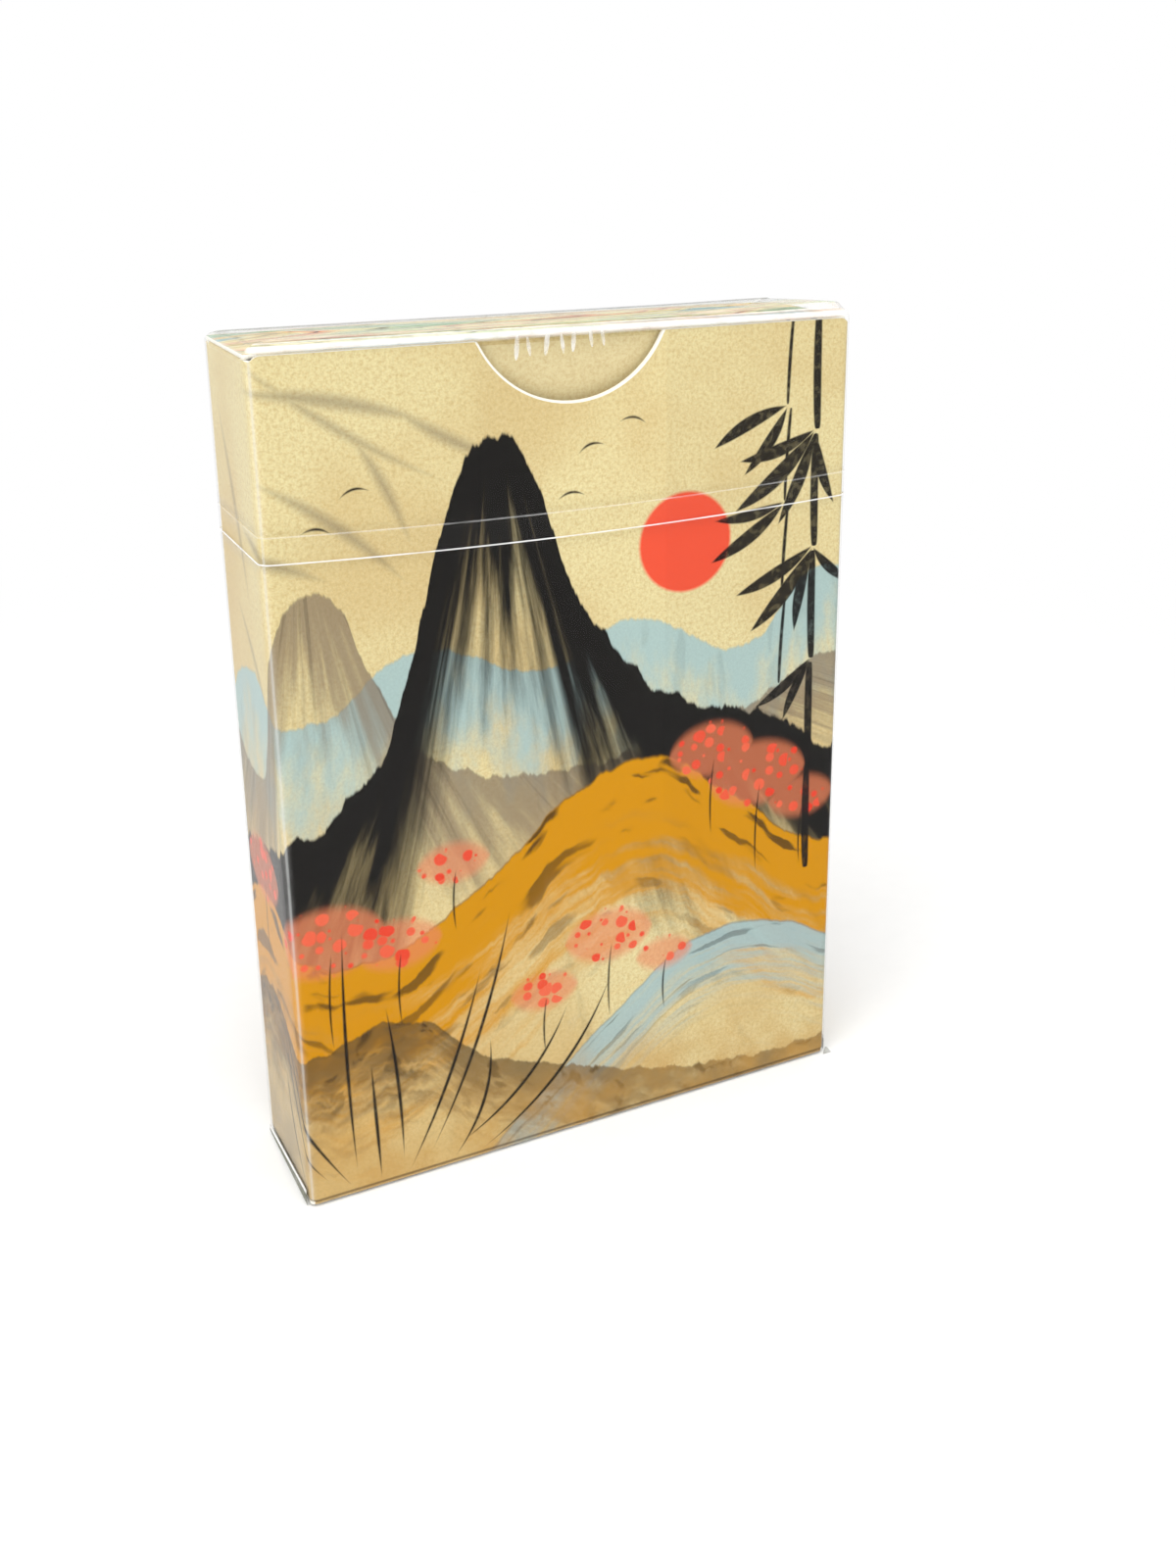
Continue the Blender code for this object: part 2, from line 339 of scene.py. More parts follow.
swell = put(brush, "Math", {0: swell, 1: given["Blunt"]}, operation="POWER")
half = put(brush, "Math", {0: swell, 1: given["Width"]}, operation="MULTIPLY")
depth = put(brush, "Math", {0: half, 1: off}, operation="SUBTRACT")
cover = put(brush, "MapRange", {0: depth, 1: 0.0, 2: given["Soft"]}, interpolation_type="SMOOTHSTEP")
put(brush, "NodeGroupOutput", {0: cover})


def strokes(tree, spot, marks, soft):
    """Cover of a set of brush strokes: (x, z, angle, length, half width, bend, blunt) in mm and degrees."""
    total = None
    for x, z, angle, length, width, bend, blunt in marks:
        mark = put(tree, "Group", node_tree=brush)
        tree.links.new(spot, mark.inputs["Spot"])
        c, d = math.cos(math.radians(angle)), math.sin(math.radians(angle))
        k = 2 / length
        values = {"Along": (c * k, d * k, -(x * c + z * d) * k - 1), "Aside": (-d, c, x * d - z * c),
                  "Width": width, "Bend": -bend, "Blunt": blunt, "Soft": soft}
        for key, value in values.items():
            mark.inputs[key].default_value = value
        total = put(tree, "Math", {0: total, 1: mark}, operation="MAXIMUM") if total else mark
    return total.outputs[0]


# Ground: warm cream paper, tan towards the foot of the left side, with cloudy and fine mottling. The mottle
# is drawn coarser than a real print screen, so that it shows. Places and sizes in the picture are in mm.
CLOUD, MOTTLE, DRY_BRUSH = 20.0, 0.4348, 0.909
cloud = put(tree, "TexNoise", {"Vector": spot, "Scale": 1 / CLOUD, "Detail": 3.0}, noise_dimensions="2D")
cloud = put(tree, "MapRange", {0: cloud, 1: 0.35, 2: 0.7}, interpolation_type="SMOOTHSTEP")
paint = put(tree, "Mix", {0: cloud, 6: linear("#E2D5A2"), 7: linear("#D6C18C")}, data_type="RGBA")
lean = put(tree, "VectorMath", {0: spot, 1: (-0.8, -0.6, 0.0)}, operation="DOT_PRODUCT")
tan = put(tree, "MapRange", {0: lean.outputs["Value"], 1: -20.0, 2: 26.0, 4: 0.75},
          interpolation_type="SMOOTHSTEP")
paint = put(tree, "Mix", {0: tan, 6: paint.outputs[2], 7: linear("#CFAE70")}, data_type="RGBA")
mottle = put(tree, "TexNoise", {"Vector": spot, "Scale": 1 / MOTTLE, "Detail": 4.0, "Roughness": 0.85},
             noise_dimensions="2D")
mottle = put(tree, "MapRange", {0: mottle, 1: 0.42, 2: 0.75, 4: 0.75})
dry = put(tree, "TexNoise", {"Vector": spot, "Scale": 1 / DRY_BRUSH, "Detail": 5.0}, noise_dimensions="2D")
dry = put(tree, "MapRange", {0: dry, 1: 0.32, 2: 0.5, 3: 0.88, 4: 0.98})
paint = put(tree, "Mix", {0: mottle, 6: paint.outputs[2], 7: linear("#C2A469")}, data_type="RGBA")

# Sun: a flat red-orange disc.
SUN = (12.5, 68.5, 1.0)
sun = put(tree, "VectorMath", {0: spot, 1: SUN}, operation="DISTANCE")
sun = put(tree, "MapRange", {0: sun.outputs["Value"], 1: 5.7, 2: 5.3, 4: 0.95})
paint = put(tree, "Mix", {0: sun, 6: paint.outputs[2], 7: linear("#E8452C")}, data_type="RGBA")

# Leaf shadows: soft grey-brown strokes hanging in from the upper left.
LEAF_SHADOWS = [(-36, 88, -12, 22, 1.3, 0.8, 0.8), (-34, 80, -38, 20, 1.2, 1.0, 0.8),
                (-35, 92, -34, 26, 1.0, -1.0, 0.8), (-24, 84, -64, 14, 1.1, 0.6, 0.8),
                (-40, 74, -20, 15, 1.2, 0.5, 0.8), (-20, 86, -28, 15, 1.2, -0.6, 0.8),
                (-46, 86, -70, 22, 1.1, 0.7, 0.8), (-44, 66, -50, 16, 1.0, 0.7, 0.8)]
shade = strokes(tree, spot, LEAF_SHADOWS, 1.3)
shade = put(tree, "Math", {0: shade, 1: 0.55}, operation="MULTIPLY")
paint = put(tree, "Mix", {0: shade, 6: paint.outputs[2], 7: linear("#7C6F5C")}, data_type="RGBA")

# Mountains and hills from far to near. Each has its skyline (mm along, mm up), its colour, how far down it
# fades, how strong and how jagged it is, how much ink line it carries, and the fan of its brush marks.
SKY_FROM, SKY_TO, ROCK = -50.0, 116.0, 3.125
HILLS = [
    ("#9DBDC0", 20, 0.85, 2.0, 0.15, (0, 400, 90, 0.12),
     [(-50, 52), (-40, 58), (-30, 54), (-18, 60), (-4, 56), (6, 60), (20, 55), (30, 63), (42, 56), (60, 62),
      (84, 54), (100, 60), (116, 54)]),
    ("#84735E", 22, 0.80, 3.0, 0.35, (-29, 76, 13, 0.06),
     [(-50, 50), (-40, 46), (-33, 60), (-28, 67), (-23, 58), (-14, 46), (4, 44), (20, 47), (33, 52),
      (48, 44), (66, 60), (76, 70), (84, 58), (100, 46), (116, 50)]),
    ("#141210", 36, 1.00, 4.0, 0.00, (-9, 88, 15, 0.05),
     [(-50, 36), (-33, 40), (-24, 46), (-18, 60), (-14, 73), (-9, 80), (-5, 76), (-1, 64), (5, 55), (12, 49),
      (24, 45), (33, 40), (52, 44), (62, 40), (80, 52), (88, 64), (93, 60), (104, 46), (116, 38)]),
    ("#CD8D00", 27, 1.00, 1.6, 0.85, (0, 1000, 70, 0.45),
     [(-50, 30), (-40, 33), (-26, 27), (-12, 33), (0, 42), (8, 44), (18, 38), (33, 29), (50, 34), (70, 28),
      (90, 35), (116, 30)]),
    ("#9CBBC0", 13, 0.85, 0.8, 0.60, (0, 1000, 60, 0.9),
     [(-50, -8), (-33, -7), (-16, -2), (-8, 4), (4, 14), (16, 21), (26, 20), (34, 16), (60, 15),
      (90, 8), (116, -4)]),
    ("#5E4A2C", 15, 0.80, 2.2, 0.85, (0, 1000, 190, 0.5),
     [(-50, 18), (-42, 21), (-33, 17), (-22, 19), (-12, 12), (0, 7), (14, 3), (33, 2), (60, 6),
      (90, 12), (116, 18)]),
]
place = put(tree, "MapRange", {0: across, 1: SKY_FROM, 2: SKY_TO})
for number, (colour, fade, strength, jag, line_ink, fan, skyline) in enumerate(HILLS):
    fan_x, fan_z, spread, run = fan
    ridge = put(tree, "FloatCurve", {1: place})
    line = ridge.mapping.curves[0].points
    line[0].location, line[1].location = (0, skyline[0][1] / 100), (1, skyline[-1][1] / 100)
    for x, z in skyline[1:-1]:
        line.new((x - SKY_FROM) / (SKY_TO - SKY_FROM), z / 100)
    ridge.mapping.update()
    ridge = put(tree, "Math", {0: ridge, 1: 100.0}, operation="MULTIPLY")
    rock = put(tree, "Math", {0: across, 1: 37.0 * number}, operation="ADD")
    rock = put(tree, "TexNoise", {"W": rock, "Scale": 1 / ROCK, "Detail": 6.0, "Roughness": 0.62},
               noise_dimensions="1D")
    ridge = put(tree, "Math", {0: rock, 1: jag, 2: ridge}, operation="MULTIPLY_ADD")
    below = put(tree, "Math", {0: ridge, 1: up}, operation="SUBTRACT")
    edge = put(tree, "MapRange", {0: below, 1: 0.0, 2: 0.5}, interpolation_type="SMOOTHSTEP")
    mist = put(tree, "MapRange", {0: below, 1: 0.0, 2: float(fade), 3: strength, 4: 0.0})
    out_x = put(tree, "Math", {0: across, 1: float(fan_x)}, operation="SUBTRACT")
    out_z = put(tree, "Math", {0: float(fan_z), 1: up}, operation="SUBTRACT")
    slant = put(tree, "Math", {0: out_x, 1: out_z}, operation="DIVIDE")
    slant = put(tree, "Math", {0: slant, 1: float(spread)}, operation="MULTIPLY")
    down = put(tree, "Math", {0: below, 1: run, 2: 7.0 * number}, operation="MULTIPLY_ADD")
    grain_at = put(tree, "CombineXYZ", {0: slant, 1: down})
    grain = put(tree, "TexNoise", {"Vector": grain_at, "Scale": 1.0, "Detail": 5.0, "Roughness": 0.6},
                noise_dimensions="2D")
    ink = put(tree, "Math", {0: grain, 1: mist}, operation="ADD")
    ink = put(tree, "MapRange", {0: ink, 1: 0.60, 2: 1.25}, interpolation_type="SMOOTHSTEP")
    cover = put(tree, "Math", {0: edge, 1: ink}, operation="MULTIPLY")
    cover = put(tree, "Math", {0: cover, 1: strength}, operation="MULTIPLY")
    paint = put(tree, "Mix", {0: cover, 6: paint.outputs[2], 7: linear(colour)}, data_type="RGBA")
    if line_ink:
        hatch = put(tree, "VectorMath", {0: grain_at, 1: (1.7, 0.8, 0.0)}, operation="MULTIPLY")
        hatch = put(tree, "TexNoise", {"Vector": hatch, "Scale": 1.0, "Detail": 2.0, "Distortion": 0.3},
                    noise_dimensions="2D")
        hatch = put(tree, "MapRange", {0: hatch, 1: 0.60, 2: 0.68})
        hatch = put(tree, "Math", {0: hatch, 1: mist}, operation="MULTIPLY")
        rim = put(tree, "MapRange", {0: below, 1: 0.5, 2: 0.2})
        hatch = put(tree, "Math", {0: hatch, 1: rim}, operation="MAXIMUM")
        hatch = put(tree, "Math", {0: hatch, 1: edge}, operation="MULTIPLY")
        hatch = put(tree, "Math", {0: hatch, 1: line_ink}, operation="MULTIPLY")
        paint = put(tree, "Mix", {0: hatch, 6: paint.outputs[2], 7: linear("#1D1712")}, data_type="RGBA")

# Foot wash: a tan and grey-brown tone that gathers at the foot of the case, greyer on its left side.
STAIN = 8.333
wash = put(tree, "MapRange", {0: up, 1: 17.0, 2: 0.0, 4: 0.75}, interpolation_type="SMOOTHSTEP")
stain = put(tree, "TexNoise", {"Vector": spot, "Scale": 1 / STAIN, "Detail": 5.0, "Roughness": 0.6},
            noise_dimensions="2D")
stain = put(tree, "MapRange", {0: stain, 1: 0.35, 2: 0.65, 3: 0.25})
wash = put(tree, "Math", {0: wash, 1: stain}, operation="MULTIPLY")
left = put(tree, "MapRange", {0: across, 1: -31.0, 2: -34.0})
tone = put(tree, "Mix", {0: left, 6: linear("#BE9147"), 7: linear("#85755B")}, data_type="RGBA")
paint = put(tree, "Mix", {0: wash, 6: paint.outputs[2], 7: tone.outputs[2]}, data_type="RGBA")

# Autumn trees: round crowns dabbed in coral and red, each on a short dark trunk.
CROWNS = [(-29, 31, 6.5), (-21.5, 29, 5.0), (-15, 37, 4.2), (16, 44, 5.5), (22, 40, 6.5),
          (28, 36, 4.6), (3, 24, 5.5), (-5, 19, 4.2), (10, 20, 3.8), (-42, 36, 6.0),
          (44, 40, 6.0), (60, 34, 6.5), (72, 33, 5.0), (98, 38, 6.0)]
DAB = 1.613
crowns = strokes(tree, spot, [(x - r, z, 0, 2 * r, 0.72 * r, 0, 0.5) for x, z, r in CROWNS], 1.6)
dab = put(tree, "TexVoronoi", {"Vector": spot, "Scale": 1 / DAB}, voronoi_dimensions="2D")
chance = put(tree, "SeparateColor", {0: dab.outputs["Color"]})
grown = put(tree, "Math", {0: crowns, 1: 0.62}, operation="MULTIPLY")
grown = put(tree, "Math", {0: chance.outputs[0], 1: grown}, operation="MULTIPLY")
leaf = put(tree, "Math", {0: grown, 1: dab.outputs["Distance"]}, operation="SUBTRACT")
leaf = put(tree, "MapRange", {0: leaf, 1: 0.0, 2: 0.12, 4: 0.95})
haze = put(tree, "Math", {0: crowns, 1: 0.6}, operation="MULTIPLY")
paint = put(tree, "Mix", {0: haze, 6: paint.outputs[2], 7: linear("#DD7F58")}, data_type="RGBA")
hue = put(tree, "Mix", {0: chance.outputs[1], 6: linear("#E23A26"), 7: linear("#E9694A")}, data_type="RGBA")
paint = put(tree, "Mix", {0: leaf, 6: paint.outputs[2], 7: hue.outputs[2]}, data_type="RGBA")

# Ink strokes: trunks, a bamboo cane with its leaves at the right, reeds at the lower left, and birds.
INK = [(x, z - 1.9 * r, 88, 1.7 * r, 0.22, 0.3, 0.4) for x, z, r in CROWNS]
INK += [(28.9 - 0.03 * k, 26.5 + 13.2 * k, 91, 12.7, 0.62, 0.1, 0.12) for k in range(5)]
INK += [(24.6 + 0.1 * k, 50.5 + 10.6 * k, 87, 10.2, 0.33, 0.1, 0.12) for k in range(4)]
INK += [(28.6, 66.2, 205, 11, 0.9, 0.5, 0.9), (28.6, 66.0, 228, 12, 1.0, 0.6, 0.9),
        (28.5, 66.0, 258, 10, 0.8, -0.4, 0.9), (28.5, 79.3, 196, 10, 0.85, 0.6, 0.9),
        (28.5, 79.2, 219, 13, 1.05, 0.7, 0.9), (28.4, 79.0, 246, 11, 0.9, 0.4, 0.9),
        (28.5, 79.2, 288, 9, 0.75, -0.5, 0.9), (24.8, 71.6, 188, 9, 0.75, 0.5, 0.9),
        (24.8, 71.5, 212, 11, 0.9, 0.5, 0.9), (24.9, 82.2, 204, 10, 0.85, -0.5, 0.9),
        (24.9, 82.1, 233, 9, 0.8, 0.5, 0.9), (28.8, 53.0, 214, 9, 0.75, 0.5, 0.9),
        (28.8, 52.9, 243, 8, 0.7, -0.3, 0.9), (28.6, 66.0, 318, 7, 0.7, -0.4, 0.9)]
INK += [(-33 + 1.9 * k + 0.7 * (k % 3), 1 + 1.6 * (k % 2), 112 - 7.3 * k + 9 * (k % 3),
         15 + 5 * ((k * 5) % 4), 0.30, 1.6 - 0.4 * k, 0.7) for k in range(11)]
BIRDS = ((0, 79, 14), (4.6, 82, -8), (-2.4, 74.5, 4), (-25, 77, 10), (-29, 74, -6))
INK += [(x, z, tilt, 3.4, 0.24, 0.7, 0.8) for x, z, tilt in BIRDS]
ink = strokes(tree, spot, INK, 0.22)
ink = put(tree, "Math", {0: ink, 1: dry}, operation="MULTIPLY")
paint = put(tree, "Mix", {0: ink, 6: paint.outputs[2], 7: linear("#141110")}, data_type="RGBA")

# Lid: loose washes of pale green, coral, ochre and blue-grey drawn lengthwise, with a few thin dark lines.
LID_WASHES = ((0.32, "#93B294"), (0.40, "#E0D7A4"), (0.45, "#D9795A"), (0.49, "#E3D9A6"), (0.54, "#CFAA3E"),
              (0.59, "#E0D6A2"), (0.66, "#7AA3A8"))
SWEEP_LONG, SWEEP_WIDE = 35.71, 3.846
on_lid = put(tree, "Math", {0: up, 1: case_top / MM + 0.3}, operation="GREATER_THAN")
sweep = put(tree, "VectorMath", {0: spot, 1: (1 / SWEEP_LONG, 1 / SWEEP_WIDE, 0.0)}, operation="MULTIPLY")
sweep = put(tree, "TexNoise", {"Vector": sweep, "Scale": 1.0, "Detail": 4.0, "Distortion": 0.5},
            noise_dimensions="2D")
wash = put(tree, "ValToRGB", {0: sweep})
stops = wash.color_ramp.elements
for stop, (place, colour) in zip((stops[0], stops[1]), LID_WASHES):
    stop.position, stop.color = place, linear(colour)
for place, colour in LID_WASHES[2:]:
    stops.new(place).color = linear(colour)
paint = put(tree, "Mix", {0: on_lid, 6: paint.outputs[2], 7: wash}, data_type="RGBA")
thin = put(tree, "Math", {0: sweep, 1: 0.045}, operation="PINGPONG")
thin = put(tree, "MapRange", {0: thin, 1: 0.009, 2: 0.003, 4: 0.85})
thin = put(tree, "Math", {0: thin, 1: on_lid}, operation="MULTIPLY")
paint = put(tree, "Mix", {0: thin, 6: paint.outputs[2], 7: linear("#3A332B")}, data_type="RGBA")

# Foot line: a painted shade, a dark line where the print rolls under the bottom folds.
foot_fold_shade = put(tree, "Math", {0: up, 1: 0.78}, operation="SUBTRACT")
foot_fold_shade = put(tree, "Math", {0: foot_fold_shade}, operation="ABSOLUTE")
foot_fold_shade = put(tree, "MapRange", {0: foot_fold_shade, 1: 0.24, 2: 0.06, 4: 0.65}, interpolation_type="SMOOTHSTEP")
paint = put(tree, "Mix", {0: foot_fold_shade, 6: paint.outputs[2], 7: linear("#4B3A28")}, data_type="RGBA")

# Rubbed folds: the upright front folds show a thin pale line, partly worn varnish and partly a painted
# highlight.
fold_s = (case_w / 2 - FOLD_R + FOLD_R * math.pi / 4) / MM
rub_and_highlight = put(tree, "Math", {0: across}, operation="ABSOLUTE")
rub_and_highlight = put(tree, "Math", {0: rub_and_highlight, 1: fold_s}, operation="SUBTRACT")
rub_and_highlight = put(tree, "Math", {0: rub_and_highlight}, operation="ABSOLUTE")
rub_and_highlight = put(tree, "MapRange", {0: rub_and_highlight, 1: 0.22, 2: 0.06, 4: 0.28}, interpolation_type="SMOOTHSTEP")
rub_and_highlight = put(tree, "Math", {0: rub_and_highlight, 1: dry}, operation="MULTIPLY")
paint = put(tree, "Mix", {0: rub_and_highlight, 6: paint.outputs[2], 7: linear("#DDE1E0")}, data_type="RGBA")

# Varnish: a fine uneven sheen and tooth, with a slight grain in the colour under it.
SPECK = 0.25
speck = put(tree, "TexNoise", {"Vector": spot, "Scale": 1 / SPECK, "Detail": 3.0}, noise_dimensions="2D")
sheen = put(tree, "MapRange", {0: speck, 3: 0.50, 4: 0.62})
laid = put(tree, "MapRange", {0: speck, 1: 0.3, 2: 0.7, 3: 0.955, 4: 1.035})
paint = put(tree, "VectorMath", {0: paint.outputs[2], "Scale": laid}, operation="SCALE")
tooth = put(tree, "Bump", {"Strength": 0.25, "Distance": 0.01 * MM, "Height": speck})
skin = put(tree, "BsdfPrincipled", {"Base Color": paint, "Roughness": sheen, "Normal": tooth,
                                    "IOR": 1.22})
put(tree, "OutputMaterial", {"Surface": skin})


def stock(name, grain, detail, dark, light, finish):
    """Paper stock with a fibre grain of a given size in its colour and its surface."""
    mat, tree = fresh(name)
    spot = put(tree, "TexCoord").outputs["Object"]
    fibre = put(tree, "TexNoise", {"Vector": spot, "Scale": 1 / grain, "Detail": detail})
    shade = put(tree, "Mix", {0: fibre, 6: linear(dark), 7: linear(light)}, data_type="RGBA")
    tooth = put(tree, "Bump", {"Strength": 0.3, "Distance": 0.02 * MM, "Height": fibre})
    skin = put(tree, "BsdfPrincipled", {"Base Color": shade.outputs[2], "Normal": tooth, **finish})
    put(tree, "OutputMaterial", {"Surface": skin})
    return mat


# Bare board: bleached fibre, matt and slightly warm. Its grain is drawn coarser than it is, so that it shows.
BOARD_GRAIN = 0.4 * MM
bare_mat = stock("white_paperboard", BOARD_GRAIN, 4.0, "#F1ECDD", "#FFFDF4", {"Roughness": 0.8, "IOR": 1.4})

case_board = piece("case_board", verts, faces, [print_mat, bare_mat], bare, uvs)
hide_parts("carton_body")
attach(case_board, "case")

# Lid, tuck flap and dust flaps: panels of the same blank, printed outside and bare inside,
# each joined to its neighbour by a pressed crease, drawn as a bent strip of board.
low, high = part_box("lid_panel")
LID_INSET = 0.50 * MM
LID_CORNER, LID_BOW = 0.5 * MM, 0.48 * MM
TUCK_LEAN = math.radians(6.5)
TUCK_LEN, TUCK_CORNER = 9.4 * MM, 4.0 * MM
CREASE, CREASE_FOOT = 0.10 * MM, 0.05 * MM
TUCK_BACK = 0.35 * MM + 2 * BOARD
hinge_y, hinge_z = front_y + TUCK_BACK, low.z


def rounded(corners, steps=5):
    """Outline through (x, y, radius) corners, each turned into an arc of that radius."""
    points = []
    for i, (x, y, r) in enumerate(corners):
        here = Vector((x, y))
        before = (Vector(corners[i - 1][:2]) - here).normalized()
        after = (Vector(corners[(i + 1) % len(corners)][:2]) - here).normalized()
        half = before.angle(after) / 2 if r else 1.0
        middle = (before + after).normalized()
        centre = here + middle * (r / math.sin(half))
        for k in range(steps + 1 if r else 1):
            swing = (math.pi - 2 * half) * (k / steps - 0.5) if r else 0.0
            points.append(centre - Matrix.Rotation(swing, 2) @ middle * r)
    return points


def panel(name, outline, place, map_of, mats, thick=BOARD):
    """Flat panel over an anticlockwise outline: printed on its upper face, bare below and on its edges."""
    n = len(outline)
    verts = [place @ Vector((*p, z)) for z in (0.0, thick) for p in outline]
    faces = [tuple(range(n))[::-1], tuple(range(n, 2 * n))]
    faces += [(i, (i + 1) % n, n + (i + 1) % n, n + i) for i in range(n)]
    uvs = [tuple(c * PER_M for c in map_of(verts[v])) for face in faces for v in face]
    return piece(name, verts, faces, mats, [1, 0] + [1] * n, uvs)


def crease(name, section, ends, along, printed, map_of):
    """Crease between two panels: a section swept straight along X or Y, printed on its first faces."""
    n = len(section)
    verts = []
    for end in ends:
        verts += [(end, *p) if along == "X" else (p[0], end, p[1]) for p in section]
    faces = [tuple(range(n)), tuple(range(n, 2 * n))[::-1]]
    faces += [(i, n + i, n + (i + 1) % n, (i + 1) % n) for i in range(n)]
    area = sum(section[i - 1][0] * section[i][1] - section[i][0] * section[i - 1][1] for i in range(n))
    if (area > 0) == (along == "X"):
        faces = [face[::-1] for face in faces]
    uvs = [tuple(c * PER_M for c in map_of(Vector(verts[v]))) for face in faces for v in face]
    return piece(name, verts, faces, [print_mat, bare_mat],
                 [1, 1] + [0 if i < printed else 1 for i in range(n)], uvs, 30)


def quarter(centre, radius, start, end, steps=6):
    """Points on an arc about a centre, angles in degrees."""
    turns = [math.radians(start + (end - start) * k / steps) for k in range(steps + 1)]
    return [(centre[0] + radius * math.cos(a), centre[1] + radius * math.sin(a)) for a in turns]


both = [print_mat, bare_mat]
half_w = case_w / 2
lid_back = back_y - LID_INSET
lid_rows = [(hinge_y + (lid_back - LID_CORNER - hinge_y) * k / 14, 0.0) for k in range(15)]
lid_rows += [(lid_back - LID_CORNER * (1 - math.sin(a)), LID_CORNER * (1 - math.cos(a)))
             for a in (0.5, 1.0, math.pi / 2)]
lid_cols = [math.copysign(1 - (1 - abs(k) / 9) ** 2, k) for k in range(-9, 10)]
verts, faces, columns = [], [], len(lid_cols)
for y, trim in lid_rows:
    rise = LID_BOW * (1 - (2 * ((y - hinge_y) / (lid_back - hinge_y)) ** 2.6 - 1) ** 2)
    verts += [((half_w - trim) * u, y, case_top + rise * (1 - u ** 8)) for u in lid_cols]
for a in range(0, len(verts) - columns, columns):
    faces += [(a + i, a + i + 1, a + i + 1 + columns, a + i + columns) for i in range(columns - 1)]
uvs = [(verts[v][0] * PER_M, (case_top + verts[v][1] - front_y) * PER_M) for face in faces for v in face]
lid = piece("lid_board", verts, faces, both, None, uvs)
board = lid.modifiers.new("board", "SOLIDIFY")
board.thickness, board.offset = BOARD, -1.0
board.material_offset = board.material_offset_rim = 1
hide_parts("lid_panel")
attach(lid, "lid")

outer = quarter((back_y - BOARD, hinge_z), BOARD, 0, 90)
section = [(back_y, hinge_z - CREASE_FOOT)] + outer + [(back_y - LID_INSET, case_top)]
printed = len(section) - 1
section += [(back_y - LID_INSET, hinge_z), (back_y - BOARD, hinge_z), (back_y - BOARD, hinge_z - CREASE_FOOT)]
lid_crease = crease("lid_crease", section, (-half_w + FOLD_R, half_w - FOLD_R), "X", printed,
                    lambda p: (p.x, case_top + p.y - front_y))
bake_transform(lid_crease)

low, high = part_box("tuck_flap")
tuck_half = (high.x - low.x) / 2
tuck_outline = rounded([(-tuck_half, -TUCK_LEN, TUCK_CORNER), (tuck_half, -TUCK_LEN, TUCK_CORNER),
                        (tuck_half, -CREASE, 0), (-tuck_half, -CREASE, 0)], 10)
# Flap print: a plain flood of cream ink with a fine mottle under matt varnish, painted a shade paler than
# the front's print as painted light against the shade in the notch.
paler_flap_mat, tree = fresh("cream_printed_board_painted_paler")
spot = put(tree, "TexCoord").outputs["Object"]
mottle = put(tree, "TexNoise", {"Vector": spot, "Scale": 1 / (MOTTLE * MM), "Detail": 4.0, "Roughness": 0.85})
grey = put(tree, "MapRange", {0: mottle, 1: 0.42, 2: 0.75, 4: 0.75})
shade = put(tree, "Mix", {0: grey, 6: linear("#E5D6A6"), 7: linear("#C8AA72")}, data_type="RGBA")
tooth = put(tree, "Bump", {"Strength": 0.25, "Distance": 0.01 * MM, "Height": mottle})
skin = put(tree, "BsdfPrincipled", {"Base Color": shade.outputs[2], "Roughness": 0.56, "Normal": tooth,
                                    "IOR": 1.22})
put(tree, "OutputMaterial", {"Surface": skin})
hung = Matrix.Translation((0, hinge_y, hinge_z)) @ Matrix.Rotation(math.pi / 2 + TUCK_LEAN, 4, "X")
tuck = panel("tuck_board", tuck_outline, hung, lambda p: (p.x, p.z), [paler_flap_mat, bare_mat])
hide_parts("tuck_flap")
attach(tuck, "tuck")

lean_deg = math.degrees(TUCK_LEAN)
down = Vector((math.sin(TUCK_LEAN), -math.cos(TUCK_LEAN))) * CREASE
section = quarter((hinge_y, hinge_z), BOARD, 90, 180 + lean_deg, 8)
section.append((section[-1][0] + down.x, section[-1][1] + down.y))
printed = len(section) - 1
section += [(hinge_y + down.x, hinge_z + down.y), (hinge_y, hinge_z)]
tuck_crease = crease("tuck_crease", section, (-tuck_half, tuck_half), "X", printed, lambda p: (p.x, p.z))
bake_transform(tuck_crease)

DUST_LEN, DUST_CORNER = 9.0 * MM, 1.0 * MM
DUST_FRONT_TAPER, DUST_BACK_TAPER = 0.30, 0.75
for side, name in ((-1, "left"), (1, "right")):
    low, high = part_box("dust_flap_" + name)
    far = half_w - DUST_LEN
    near = half_w - LID_INSET
    ring = [(near, low.y + DUST_FRONT_TAPER * LID_INSET, 0),
            (far, low.y + DUST_FRONT_TAPER * DUST_LEN, DUST_CORNER),
            (far, high.y - DUST_BACK_TAPER * DUST_LEN, DUST_CORNER),
            (near, high.y - DUST_BACK_TAPER * LID_INSET, 0)]
    ring = [(side * x, y, r) for x, y, r in ring]
    outline = rounded(ring if side < 0 else ring[::-1])
    flap = panel("dust_board_" + name, outline, Matrix.Translation((0, 0, low.z)),
                 lambda p, side=side: (side * (half_w + p.y - front_y), case_top + half_w - side * p.x),
                 both)
    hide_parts("dust_flap_" + name)
    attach(flap, "dust_" + name)
    arc = quarter((half_w - BOARD, low.z), BOARD, 0, 90)
    section = [(half_w, low.z - CREASE_FOOT)] + arc + [(near, high.z)]
    printed = len(section) - 1
    section += [(near, low.z), (half_w - BOARD, low.z), (half_w - BOARD, low.z - CREASE_FOOT)]
    section = [(side * x, z) for x, z in section]
    bend = crease("dust_crease_" + name, section, (low.y, high.y), "Y", printed,
                  lambda p, side=side: (side * (half_w + p.y - front_y), p.z))
    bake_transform(bend)

# Cards: 52 suit cards of coated card stock, with a spare card at each end of the stack,
# all loose in the case. The spares show their patterned backs to its front.

